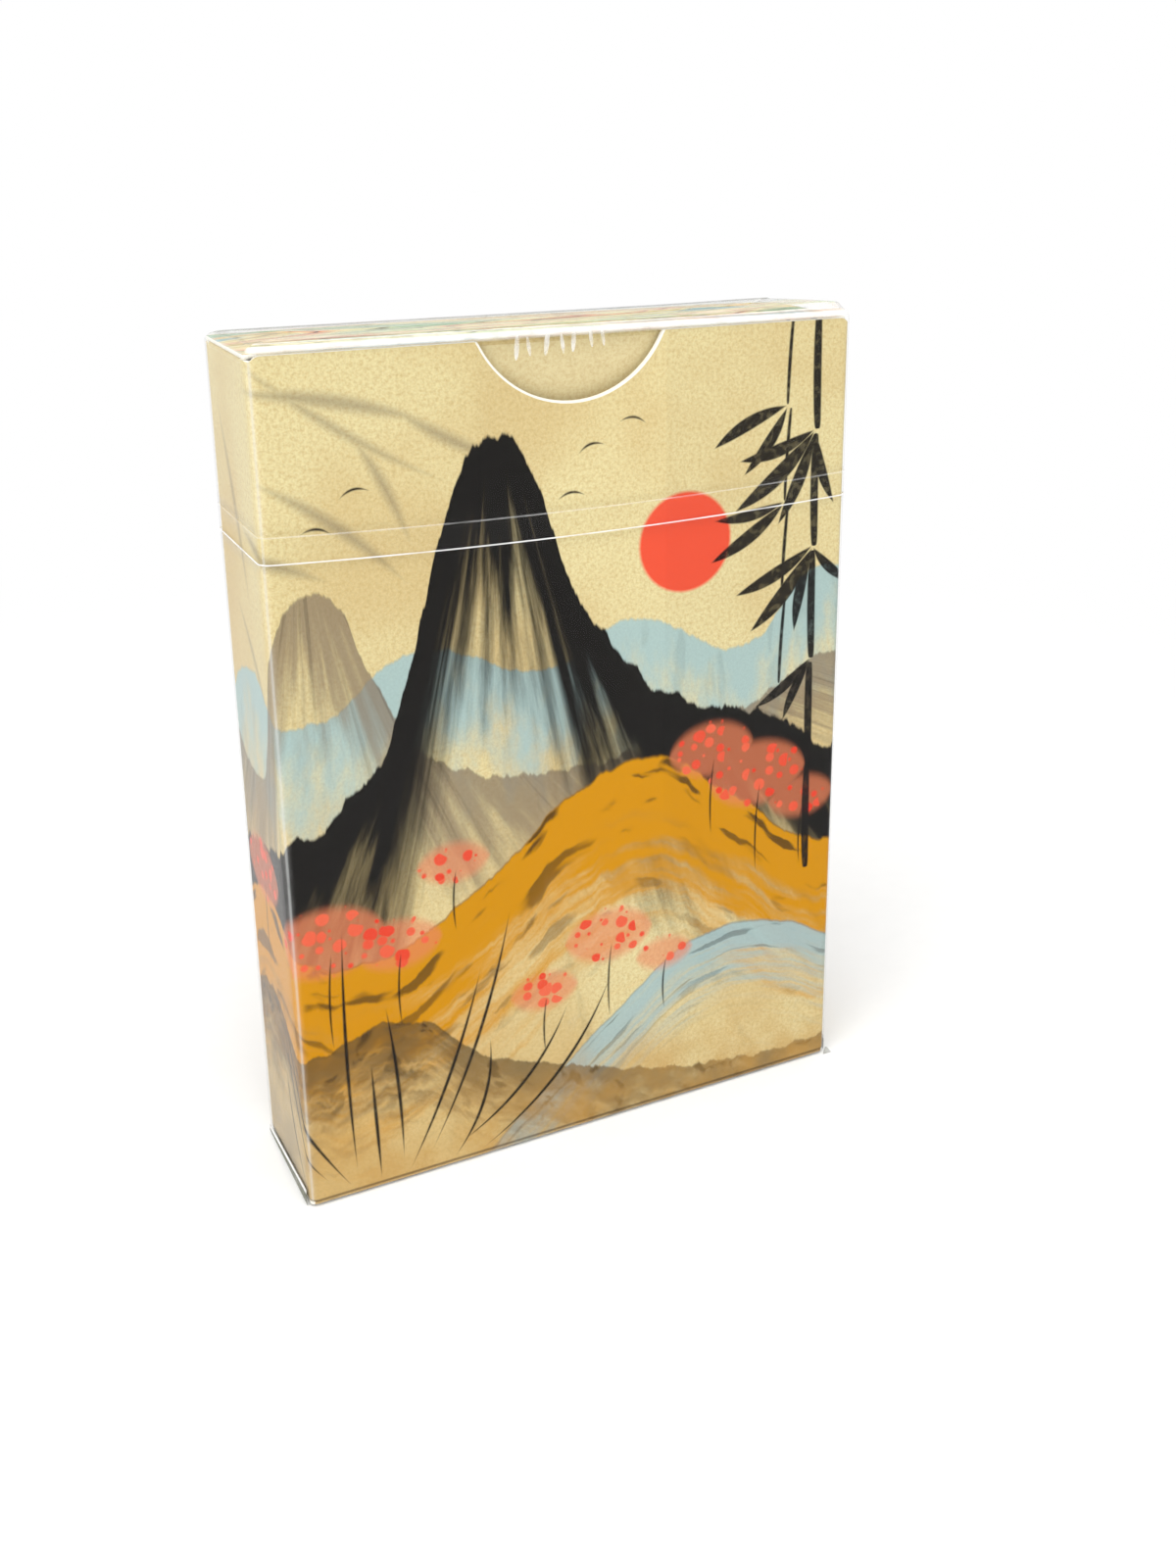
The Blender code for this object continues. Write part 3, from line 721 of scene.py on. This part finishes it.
# Card stock: white paper pasted in plies and coated, so it has a satin face. Its grain is drawn coarser
# than it is, so that it shows.
CARD_GRAIN = 0.5556 * MM
card_mat = stock("coated_card_stock", CARD_GRAIN, 3.0, "#EFEBDF", "#FAF8F1", {"Roughness": 0.45})
for name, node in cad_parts.items():
    if name.startswith("card_"):
        node.material_slots[0].material = card_mat

# Card back: a brick-red lattice of small diamonds inside a white border with a fine rule.
BACK_RED = "#A83B2A"
back_mat, tree = fresh("printed_card_back")
spot = put(tree, "TexCoord").outputs["Object"]
axes = put(tree, "SeparateXYZ", {0: spot})
card_low, card_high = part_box("card_01")
card_mid_z = (card_low.z + card_high.z) / 2
card_half_w, card_half_h = (card_high.x - card_low.x) / 2, (card_high.z - card_low.z) / 2
level = put(tree, "Math", {0: axes.outputs[2], 1: card_mid_z}, operation="SUBTRACT")
from_side = put(tree, "Math", {0: axes.outputs[0]}, operation="ABSOLUTE")
from_side = put(tree, "Math", {0: card_half_w, 1: from_side}, operation="SUBTRACT")
from_end = put(tree, "Math", {0: level}, operation="ABSOLUTE")
from_end = put(tree, "Math", {0: card_half_h, 1: from_end}, operation="SUBTRACT")
margin = put(tree, "Math", {0: from_side, 1: from_end}, operation="MINIMUM")
field = put(tree, "Math", {0: margin, 1: 4.6 * MM}, operation="GREATER_THAN")
rule = put(tree, "Math", {0: margin, 1: 3.6 * MM, 2: 0.35 * MM}, operation="COMPARE")
one = put(tree, "Math", {0: axes.outputs[0], 1: level}, operation="ADD")
two = put(tree, "Math", {0: axes.outputs[0], 1: level}, operation="SUBTRACT")
lattice = []
for way in (one, two):
    cell = put(tree, "Math", {0: way, 1: 1.6 * MM}, operation="PINGPONG")
    lattice.append(put(tree, "Math", {0: cell, 1: 0.34 * MM}, operation="GREATER_THAN"))
diamond = put(tree, "Math", {0: lattice[0], 1: lattice[1]}, operation="MULTIPLY")
diamond = put(tree, "Math", {0: diamond, 1: field}, operation="MULTIPLY")
mark = put(tree, "Math", {0: diamond, 1: rule}, operation="MAXIMUM")
shade = put(tree, "Mix", {0: mark, 6: linear("#F6F2E8"), 7: linear(BACK_RED)}, data_type="RGBA")
linen = put(tree, "TexNoise", {"Vector": spot, "Scale": 1 / CARD_GRAIN, "Detail": 3.0})
tooth = put(tree, "Bump", {"Strength": 0.3, "Distance": 0.02 * MM, "Height": linen})
skin = put(tree, "BsdfPrincipled", {"Base Color": shade.outputs[2], "Roughness": 0.35, "Normal": tooth})
put(tree, "OutputMaterial", {"Surface": skin})

CARD_R = 3.2 * MM
card_t = card_high.y - card_low.y
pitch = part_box("card_02")[0].y - card_low.y
hw, hh = card_half_w, card_half_h
card_outline = rounded([(-hw, -hh, CARD_R), (hw, -hh, CARD_R), (hw, hh, CARD_R), (-hw, hh, CARD_R)], 8)
SPARES = (("spare_card_front", card_low.y - pitch), ("spare_card_back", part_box("card_52")[0].y + pitch))
for name, y in SPARES:
    stood = Matrix.Translation((0, y + card_t, card_mid_z)) @ Matrix.Rotation(math.pi / 2, 4, "X")
    spare = panel(name, card_outline, stood, lambda p: (p.x, p.z), [back_mat, card_mat], card_t)
    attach(spare, "deck")

# Film overwrap: thin clear polypropylene film drawn round the case, lapped and sealed at the back and folded
# in at its ends like a parcel. It ripples a little, turns milky along its folds, where a painted highlight is
# laid in with the milk, puckers over the notch, and its top end stands slightly crowned.
FILM_T, FILM_R = 0.05 * MM, 1.0 * MM
TOP_RISE, TOP_FALL, CROWN, PUFF = 0.75 * MM, 0.65 * MM, 0.16 * MM, 0.75 * MM
PUFF_FROM, PUFF_RUN, PUFF_STEP = 16 * MM, 15 * MM, 1.3 * MM
FILM_STEP, FILM_LEVEL, TURN_STEPS = 1.3 * MM, 1.6 * MM, 6
WAVE, STREAK, SLACK_REACH, LIFT_REACH = 0.045 * MM, 0.015 * MM, 3 * MM, 2.5 * MM
sleeve_low, sleeve_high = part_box("film_sleeve")
cap_low, cap_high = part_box("film_cap")
film_w, film_d = cap_high.x - cap_low.x, cap_high.y - cap_low.y


def film_skin(tree, milk, colour, shine, rough, dents):
    """Clear film that shines where it turns edge-on, and turns milky white by a share, which also lays in
    painted highlight.
    """
    facing = put(tree, "LayerWeight", {"Blend": 0.5, **dents}).outputs["Facing"]
    edge_on = put(tree, "Math", {0: facing, 1: 5.0}, operation="POWER")
    shine = put(tree, "Math", {0: edge_on, 1: 0.36, 2: shine}, operation="MULTIPLY_ADD")
    clear = put(tree, "BsdfTransparent")
    gloss = put(tree, "BsdfAnisotropic", {"Roughness": rough, **dents})
    skin = put(tree, "MixShader", {0: shine, 1: clear, 2: gloss})
    milky = put(tree, "BsdfDiffuse", {"Color": colour})
    skin = put(tree, "MixShader", {0: milk, 1: skin, 2: milky})
    put(tree, "OutputMaterial", {"Surface": skin})


# Polypropylene film: clear and glossy, so it shows mainly where it turns edge-on. The "fold" attribute makes
# it milky along its folds, with a painted highlight laid in with the milk, and below zero paints it grey as a
# painted shade where it lies doubled. Its level top end is drawn into long streaks of pale green, cream, pink
# and blue-grey, with thin grey lines between: painted reflections.
TOP_REFLECTION_TINTS = ((0.34, "#9FC4AC"), (0.42, "#D2E3BE"), (0.48, "#F0E5AE"), (0.53, "#F6F3E2"), (0.58, "#E3BFA4"),
             (0.66, "#9DB4BA"))
PATCH, CRINKLE = 2.222 * MM, 2.381 * MM
DRAWN = (25 * MM, 0.909 * MM, 10 * MM)
film_mat, tree = fresh("clear_polypropylene_film")
spot = put(tree, "TexCoord").outputs["Object"]
fold = put(tree, "Attribute", attribute_name="fold").outputs["Fac"]
# Below zero the fold attribute paints the film grey: painted shade.
painted_grey = put(tree, "Math", {0: fold, 1: 0.0}, operation="LESS_THAN")
fold = put(tree, "Math", {0: fold}, operation="ABSOLUTE")
patch = put(tree, "TexNoise", {"Vector": spot, "Scale": 1 / PATCH, "Detail": 3.0})
patch = put(tree, "MapRange", {0: patch, 1: 0.3, 2: 0.6, 3: 0.55})
fold = put(tree, "Math", {0: fold, 1: patch}, operation="MULTIPLY")
level = put(tree, "SeparateXYZ", {0: put(tree, "NewGeometry").outputs["Normal"]}).outputs[2]
level = put(tree, "MapRange", {0: level, 1: 0.8, 2: 0.97})
upper = put(tree, "SeparateXYZ", {0: spot}).outputs[2]
upper = put(tree, "Math", {0: upper, 1: cap_low.z}, operation="GREATER_THAN")
level = put(tree, "Math", {0: level, 1: upper}, operation="MULTIPLY")
drawn = put(tree, "Mapping", {"Vector": spot, "Rotation": (0, 0, math.radians(3)),
                              "Scale": [1 / length for length in DRAWN]})
drawn = put(tree, "TexNoise", {"Vector": drawn, "Scale": 1.0, "Detail": 3.0, "Roughness": 0.6})
# Painted reflections: tints of the film's level top end.
reflection_hues = put(tree, "ValToRGB", {0: drawn})
stops = reflection_hues.color_ramp.elements
for stop, (place, colour) in zip((stops[0], stops[1]), TOP_REFLECTION_TINTS):
    stop.position, stop.color = place, linear(colour)
for place, colour in TOP_REFLECTION_TINTS[2:]:
    stops.new(place).color = linear(colour)
tint = put(tree, "Mix", {0: level, 6: linear("#FDFDFB"), 7: reflection_hues}, data_type="RGBA")
thin = put(tree, "Math", {0: drawn, 1: 0.47, 2: 0.009}, operation="COMPARE")
thin = put(tree, "Math", {0: thin, 1: level}, operation="MULTIPLY")
painted_grey = put(tree, "Math", {0: painted_grey, 1: thin}, operation="MAXIMUM")
tint = put(tree, "Mix", {0: painted_grey, 6: tint.outputs[2], 7: linear("#8B8D7E")}, data_type="RGBA")
# Pale streaks on the level top end, and along its thin lines: painted reflections.
streak = put(tree, "MapRange", {0: drawn, 1: 0.54, 2: 0.74, 4: 0.3})
streak = put(tree, "Math", {0: streak, 1: level}, operation="MULTIPLY")
thin = put(tree, "Math", {0: thin, 1: 0.45}, operation="MULTIPLY")
streak = put(tree, "Math", {0: streak, 1: thin}, operation="MAXIMUM")
# Milk: milky folds with their painted highlight, and the painted reflection streaks of the level top.
milk = put(tree, "Math", {0: fold, 1: streak}, operation="MAXIMUM")
stretch = put(tree, "Mapping", {"Vector": spot, "Scale": (1.0, 1.0, 0.25)})
crinkle = put(tree, "TexNoise", {"Vector": stretch, "Scale": 1 / CRINKLE, "Detail": 2.0})
dent = put(tree, "Bump", {"Strength": 0.35, "Distance": 0.08 * MM, "Height": crinkle})
film_skin(tree, milk, tint.outputs[2], 0.003, 0.06, {"Normal": dent})


def film_object(name, bm, body, mat=film_mat):
    """Film piece with its thin wall, made from a surface and riding with a body."""
    mesh = bpy.data.meshes.new(name)
    bm.to_mesh(mesh)
    bm.free()
    mesh.materials.append(mat)
    mesh.polygons.foreach_set("use_smooth", [True] * len(mesh.polygons))
    obj = bpy.data.objects.new(name, mesh)
    scene.collection.objects.link(obj)
    wall = obj.modifiers.new("wall", "SOLIDIFY")
    wall.thickness, wall.offset = FILM_T, -1.0
    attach(obj, body)
    return obj


def join_rows(bm, rows, closed):
    """Faces between rows of points, run round to the start where the rows are closed."""
    for lower, upper in zip(rows, rows[1:]):
        for i in range(len(lower) if closed else len(lower) - 1):
            k = (i + 1) % len(lower)
            bm.faces.new((lower[i], lower[k], upper[k], upper[i]))


def film_sheet(name, rows, body, outward):
    """Folded-over sheet of film over rows of (point, fold) pairs, with its outer side to one direction."""
    bm = bmesh.new()
    mark = bm.verts.layers.float.new("fold")
    grid = []
    for row in rows:
        grid.append([bm.verts.new(p) for p, fold in row])
        for v, (p, fold) in zip(grid[-1], row):
            v[mark] = fold
    join_rows(bm, grid, False)
    bm.normal_update()
    if sum((f.normal for f in bm.faces), Vector()).dot(outward) < 0:
        bmesh.ops.reverse_faces(bm, faces=bm.faces)
    sheet = film_object(name, bm, body)
    return sheet


def slack(p, normal):
    """Place of the film over a flat face: it stands off in a slow wave with finer upright streaks."""
    wave = noise.noise(p * 55)
    streak = noise.noise(Vector((p.x * 420, p.y * 420, p.z * 40)))
    return normal * (WAVE * wave + STREAK * streak)


def ease(t):
    """Smooth step from 0 to 1."""
    t = min(1.0, max(0.0, t))
    return t * t * (3 - 2 * t)


def lift(x, y):
    """How the film's top end tilts: down to the back, and puffed up at the right behind the front turn."""
    behind = ease((y + film_d / 2 - FILM_R) / PUFF_STEP)
    puff = ease((x - PUFF_FROM) / PUFF_RUN) * max(0.0, 0.5 - y / film_d) ** 0.7 * behind
    return PUFF * puff - TOP_FALL * (0.5 + y / film_d)


def crown(x, y):
    """Height of the film's top end over its edges: a low crown with lengthwise folds."""
    u, v = 2 * x / (film_w - 2 * FILM_R), 2 * y / (film_d - 2 * FILM_R)
    dome = max(0.0, 1 - u ** 6) * max(0.0, 1 - v ** 4)
    fold = noise.noise(Vector((x * 45, y * 620, 3.0))) + 0.5 * noise.noise(Vector((x * 110, y * 1400, 9.0)))
    return lift(x, y) + dome * (CROWN + 0.07 * MM * fold)


TAPE_SAG, SAG_REACH = 0.80 * MM, 12 * MM


def sag(x, normal):
    """How far the tear line hangs below level across the front of the case."""
    return TAPE_SAG * max(0.0, -normal.y) ** 2 * max(0.0, 1 - (2 * x / film_w) ** 2)


# Back lap: the film's ends overlap and are sealed in a raised upright strip with a bright line at each edge.
LAP = (-3.20, -3.15, -3.00, -2.95, 0.0, 2.95, 3.00, 3.15, 3.20)
LAP_LINE, LAP_END, LAP_CLEAR = 2.97, 3.17, 3.40
# The film's rounded upright corners are milky, with a painted highlight laid in along them.
LAP_RISE, LAP_MILK, CORNER_MILK = 0.06 * MM, 0.28, 0.32


def film_tube(name, open_z, shut_z, end_milk, milk_turn, body):
    """Film tube from its open edge to the turn of its end, with how milky that turn is on each side."""
    way = 1 if shut_z > open_z else -1
    marks, around = stations(film_w, film_d, FILM_R, FILM_STEP)
    seam = around / 2
    marks = [m for m in marks if abs(m - seam) > LAP_CLEAR * MM]
    marks = sorted(marks + [seam + k * MM for k in LAP])
    wall = abs(shut_z - open_z) - FILM_R
    steps = max(3, round(wall / FILM_LEVEL))
    levels = [(0.0, open_z + way * wall * k / steps) for k in range(steps + 1)]
    for k in range(1, TURN_STEPS + 1):
        a = math.pi / 2 * k / TURN_STEPS
        levels.append((FILM_R * (1 - math.cos(a)), shut_z - way * FILM_R * (1 - math.sin(a))))
    bm = bmesh.new()
    mark = bm.verts.layers.float.new("fold")
    rows = []
    for inset, z in levels:
        row = []
        for s in marks:
            at, normal = walk(s, film_w, film_d, FILM_R, inset)
            p, normal = Vector((*at, z)), Vector((*normal, 0))
            p.z -= sag(p.x, normal) * ease(1 - abs(z - open_z) / SAG_REACH)
            if way > 0:
                p.z += lift(p.x, p.y) * ease(1 - (shut_z - z) / LIFT_REACH)
            loose = max(0.0, 1 - inset / FILM_R) * min(1.0, (shut_z - z) * way / SLACK_REACH)
            from_seam = abs(s - seam) / MM
            lap = LAP_RISE * (1 - inset / FILM_R) if from_seam < LAP_END else 0.0
            v = bm.verts.new(p + slack(p, normal) * loose + normal * lap)
            bend = min(1.0, max(0.0, (inset / FILM_R - milk_turn[0]) / milk_turn[1]))
            front, side, back = max(0.0, -normal.y), abs(normal.x), max(0.0, normal.y)
            milk = end_milk[0] * front ** 2 + end_milk[1] * side ** 2 + end_milk[2] * back ** 2
            seal = LAP_MILK if LAP_LINE < from_seam < LAP_END else 0.0
            v[mark] = max(CORNER_MILK * (1 - max(front, side, back)), bend * milk, seal)
            row.append(v)
        rows.append(row)
    join_rows(bm, rows, True)
    if way < 0:
        bmesh.ops.reverse_faces(bm, faces=bm.faces)
    shell = film_object(name, bm, body)
    return shell


shut_top, shut_foot = cap_high.z + TOP_RISE, sleeve_low.z
# How milky each end's turn is at the front, sides and back, where on the turn that starts and how far it
# takes to be full. At the top front the milk is mostly a painted highlight along the turn.
FOOT_MILK, FOOT_TURN = (0.60, 0.10, 0.30), (0.20, 0.20)
TOP_MILK_AND_HIGHLIGHT, TOP_TURN = (0.80, 0.05, 0.06), (0.0, 0.10)
film_lower = film_tube("film_lower", sleeve_high.z, shut_foot, FOOT_MILK, FOOT_TURN, "film_sleeve")
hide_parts("film_sleeve")
film_upper = film_tube("film_upper", cap_low.z, shut_top, TOP_MILK_AND_HIGHLIGHT, TOP_TURN, "film_cap")
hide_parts("film_cap")

# End folds: at each end two side tucks, a front flap with slanted ends and a back flap, each laid over the
# last and cut where the next one covers it.
FLAP_EDGE, SLANT, FOLD_STEP = -0.8 * MM, 0.9, 0.06 * MM
HAIR, SIDE_START, FOOT_GAP = 0.01 * MM, 0.12 * MM, 0.02 * MM
RIM, RIM_IN, RIM_MILK, TURN_LINE = 0.15 * MM, 0.20 * MM, 0.3, 0.3 * MM
PUFF_LEAST, PUFF_MILK = 0.10 * MM, 0.30
# How milky or grey each flap is at distances (mm) from the turn of the film. At the top the milk is partly a
# painted highlight along the turn, and the grey below zero is a painted shade.
FLAP_FOLDS = {
    ("top", "front"): ((0, 0.85), (0.25, 0.85), (0.4, -0.18), (1.0, -0.18), (1.2, 0.60), (3.2, 0.45),
                       (4.4, 0.04), (5.5, 0.02)),
    ("top", "back"): ((0, -0.35), (0.3, -0.35), (0.8, 0.02), (2, 0.02), (4, 0.02), (6, 0.02),
                      (8.09, 0.02), (8.14, 0.35)),
    ("foot", "front"): ((0, 0.05), (1.5, 0.02), (3, 0.02), (4.5, 0.02)),
    ("foot", "back"): ((0, 0.05), (2, 0.02), (4, 0.02), (6, 0.02), (8.09, 0.02), (8.14, 0.35)),
}
end_w, end_d = film_w / 2 - FILM_R, film_d / 2 - FILM_R


def flap_half(y):
    """Half length of the flaps at a place across the end."""
    return end_w - SLANT * (end_d - y if y > FLAP_EDGE else end_d + y)


for end, shut_z, way, body in (("top", shut_top, 1, "film_cap"), ("foot", shut_foot, -1, "film_sleeve")):
    for name, layer in (("left", 0), ("right", 0), ("front", 1), ("back", 2)):
        lines = []
        if layer == 0:
            side = 1 if name == "right" else -1
            steps = [end_d * (k / 12 - 1) for k in range(1, 24)] + [FLAP_EDGE - HAIR, FLAP_EDGE + HAIR]
            for y in sorted(steps + [SIDE_START - end_d, end_d - SIDE_START]):
                half = flap_half(y)
                lines.append([(side * (half + (end_w - half) * k / 6), y, 0.02 if k < 6 else 0.05)
                              for k in range(7)])
        else:
            side = 1 if name == "back" else -1
            deep = end_d - side * FLAP_EDGE
            steps = [(t * MM, fold) for t, fold in FLAP_FOLDS[end, name]]
            for t, milk in steps + [(deep, steps[-1][1])]:
                half = end_w - SLANT * t
                inner = half - RIM_IN
                row = [(-half, RIM_MILK), (RIM - half, RIM_MILK)]
                row += [(inner * (k / 16 - 1), milk) for k in range(33)]
                row += [(half - RIM, RIM_MILK), (half, RIM_MILK)]
                lines.append([(x, side * (end_d - t), milk if t < TURN_LINE else fold) for x, fold in row])
        rows = []
        for line in lines:
            rows.append([])
            for x, y, fold in line:
                flush = layer and abs(y) > end_d - HAIR
                over = layer * FOLD_STEP if way > 0 else FOOT_GAP + (2 - layer) * FOLD_STEP
                z = shut_z + (0.0 if flush else over) + (crown(x, y) if way > 0 else 0.0)
                puffed = lift(x, y) > PUFF_LEAST and way > 0 and fold < PUFF_MILK
                rows[-1].append((Vector((x, y, z)), PUFF_MILK if puffed else fold))
        film_sheet(f"film_{end}_fold_{name}", rows, body, Vector((0, 0, way)))

# Foot folds: at each side the tucked-in film stands doubled over the foot of the case, painted grey as a
# shade under a bright edge. Each row has its height and stand-off (mm), its fold, and how far it follows the
# edge's slant.
FOOT_FOLD = ((0.10, 0.10, -0.55, 0.1), (0.46, 0.15, -0.65, 0.45), (1.02, 0.14, -0.75, 1.0),
             (1.07, 0.14, 0.95, 1.0), (1.45, 0.11, 0.95, 1.0), (1.50, 0.09, 0.20, 1.0))
FOOT_SKEW, FOOT_HALF = 0.072, 7.6
for side, name in ((-1, "left"), (1, "right")):
    rows = [[(Vector((side * (film_w / 2 + out * MM), y * MM, (z - FOOT_SKEW * share * y) * MM)), fold)
             for y in [FOOT_HALF * (k / 6 - 1) for k in range(13)]] for z, out, fold, share in FOOT_FOLD]
    film_sheet(f"film_foot_edge_{name}", rows, "film_sleeve", Vector((side, 0, 0)))

# Small ear of film left standing at the right front foot, painted grey as its shade.
EAR = (((32.3, -8.56, 0.03), (32.95, -8.58, 0.03), (33.45, -8.62, 0.05)),
       ((32.4, -8.56, 0.55), (32.9, -8.58, 0.50), (33.25, -8.61, 0.30)),
       ((32.6, -8.56, 0.95), (32.8, -8.57, 0.90), (32.95, -8.58, 0.75)))
EAR_PAINTED_GREY = -0.35
ear_rows = [[(Vector(p) * MM, EAR_PAINTED_GREY) for p in row] for row in EAR]
film_sheet("film_ear", ear_rows, "film_sleeve", Vector((0, -1, 0)))

# Creased film of the puckers: clear with milky patches, which show the ridges white, milky creases and a
# painted highlight together.
PUCKER_PATCH = 1.4286 * MM
pucker_milk_and_highlight_mat, tree = fresh("milky_creased_film_and_highlight")
spot = put(tree, "TexCoord").outputs["Object"]
patch = put(tree, "TexNoise", {"Vector": spot, "Scale": 1 / PUCKER_PATCH, "Detail": 2.0})
patch = put(tree, "MapRange", {0: patch, 1: 0.35, 2: 0.65, 3: 0.14, 4: 0.50})
clear = put(tree, "BsdfTransparent")
milky = put(tree, "BsdfPrincipled", {"Base Color": linear("#FFFFFD"), "Roughness": 0.2})
skin = put(tree, "MixShader", {0: patch, 1: clear, 2: milky})
put(tree, "OutputMaterial", {"Surface": skin})

# Puckers over the notch: a row of short upright ridges, scattered on a line and slightly fanned.
ridges = bpy.data.node_groups.new("film_ridges", "GeometryNodeTree")
ridges.interface.new_socket("Geometry", in_out="OUTPUT", socket_type="NodeSocketGeometry")
for name, kind in (("Count", "Int"), ("Start", "Vector"), ("End", "Vector"), ("Jitter", "Vector"),
                   ("Size", "Vector"), ("Spin", "Float"), ("Seed", "Int"), ("Material", "Material")):
    ridges.interface.new_socket(name, in_out="INPUT", socket_type="NodeSocket" + kind)
given = put(ridges, "NodeGroupInput").outputs
line = put(ridges, "GeometryNodeMeshLine", {0: given["Count"], 2: given["Start"], 3: given["End"]},
           mode="END_POINTS")
push = put(ridges, "FunctionNodeRandomValue", {0: (-1, -1, -1), 1: (1, 1, 1), "Seed": given["Seed"]},
           data_type="FLOAT_VECTOR")
push = put(ridges, "VectorMath", {0: push, 1: given["Jitter"]}, operation="MULTIPLY")
spread = put(ridges, "GeometryNodeSetPosition", {"Geometry": line, "Offset": push})
grow = put(ridges, "FunctionNodeRandomValue", {2: 0.72, 3: 1.10, "Seed": given["Seed"]}, data_type="FLOAT")
grow = put(ridges, "VectorMath", {0: given["Size"], "Scale": grow.outputs[1]}, operation="SCALE")
turn = put(ridges, "FunctionNodeRandomValue", {2: -1.0, 3: 1.0, "Seed": given["Seed"]}, data_type="FLOAT")
turn = put(ridges, "Math", {0: turn.outputs[1], 1: given["Spin"]}, operation="MULTIPLY")
turn = put(ridges, "CombineXYZ", {1: turn})
drop = put(ridges, "GeometryNodeMeshUVSphere", {"Segments": 14, "Rings": 10, "Radius": 1.0})
drop = put(ridges, "GeometryNodeSetShadeSmooth", {"Geometry": drop})
all_drops = put(ridges, "GeometryNodeInstanceOnPoints", {"Points": spread, "Instance": drop,
                                                         "Rotation": turn, "Scale": grow})
solid = put(ridges, "GeometryNodeRealizeInstances", {"Geometry": all_drops})
solid = put(ridges, "GeometryNodeSetMaterial", {"Geometry": solid, "Material": given["Material"]})
put(ridges, "NodeGroupOutput", {0: solid})

film_front = -film_d / 2
PUCKERS = {"Count": 7, "Start": (-6.5 * MM, film_front, 90.55 * MM),
           "End": (3.1 * MM, film_front, 90.75 * MM), "Jitter": (0.25 * MM, 0.0, 0.25 * MM),
           "Size": (0.27 * MM, 0.10 * MM, 1.3 * MM), "Spin": math.radians(11), "Seed": 4,
           "Material": pucker_milk_and_highlight_mat}
puckers = bpy.data.objects.new("film_puckers", bpy.data.meshes.new("film_puckers"))
scene.collection.objects.link(puckers)
made = puckers.modifiers.new("ridges", "NODES")
made.node_group = ridges
for item in ridges.interface.items_tree:
    if item.in_out == "INPUT":
        made[item.identifier] = PUCKERS[item.name]
puckers_mesh = bpy.data.meshes.new_from_object(puckers.evaluated_get(bpy.context.evaluated_depsgraph_get()))
puckers.modifiers.remove(made)
puckers.data = puckers_mesh
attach(puckers, "film_cap")

# Tear tape: a narrow band of clear polypropylene that runs round the case in the film and is pulled to open
# it. Its lower edge shows as a bright white line, and its upper edge only faintly.
tape_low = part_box("tear_tape")[0]
# Tape film: clear and glossy like the wrap, and milky in broken stretches along its edges.
BROKEN = 3.846 * MM
tape_mat, tree = fresh("clear_tear_tape")
spot = put(tree, "TexCoord").outputs["Object"]
edges = put(tree, "Attribute", attribute_name="fold").outputs["Fac"]
broken = put(tree, "TexNoise", {"Vector": spot, "Scale": 1 / BROKEN, "Detail": 2.0})
broken = put(tree, "MapRange", {0: broken, 1: 0.3, 2: 0.6, 3: 0.45})
edges = put(tree, "Math", {0: edges, 1: broken}, operation="MULTIPLY")
film_skin(tree, edges, linear("#FFFFFF"), 0.006, 0.08, {})
# Height up the tape, how far it stands out (mm), and how milky it is.
TAPE_ROWS = ((0.00, 0.00, 0.75), (0.02, 0.05, 0.75), (0.14, 0.05, 0.75), (0.18, 0.01, 0.0),
             (2.60, 0.01, 0.0), (2.64, 0.03, 0.14), (2.78, 0.03, 0.14), (2.80, 0.00, 0.14))
marks = stations(film_w, film_d, FILM_R, FILM_STEP)[0]
bm = bmesh.new()
mark = bm.verts.layers.float.new("fold")
rows = []
for height, out, milk in TAPE_ROWS:
    rows.append([])
    for at in marks:
        point, normal = walk(at, film_w, film_d, FILM_R, -out * MM)
        rows[-1].append(bm.verts.new((*point, tape_low.z + height * MM - sag(point.x, normal))))
        rows[-1][-1][mark] = milk
join_rows(bm, rows, True)
tape = film_object("tear_band", bm, "tear_tape", tape_mat)
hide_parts("tear_tape")

size = {"cad": cad_box, "visual": [list(corner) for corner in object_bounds()]}
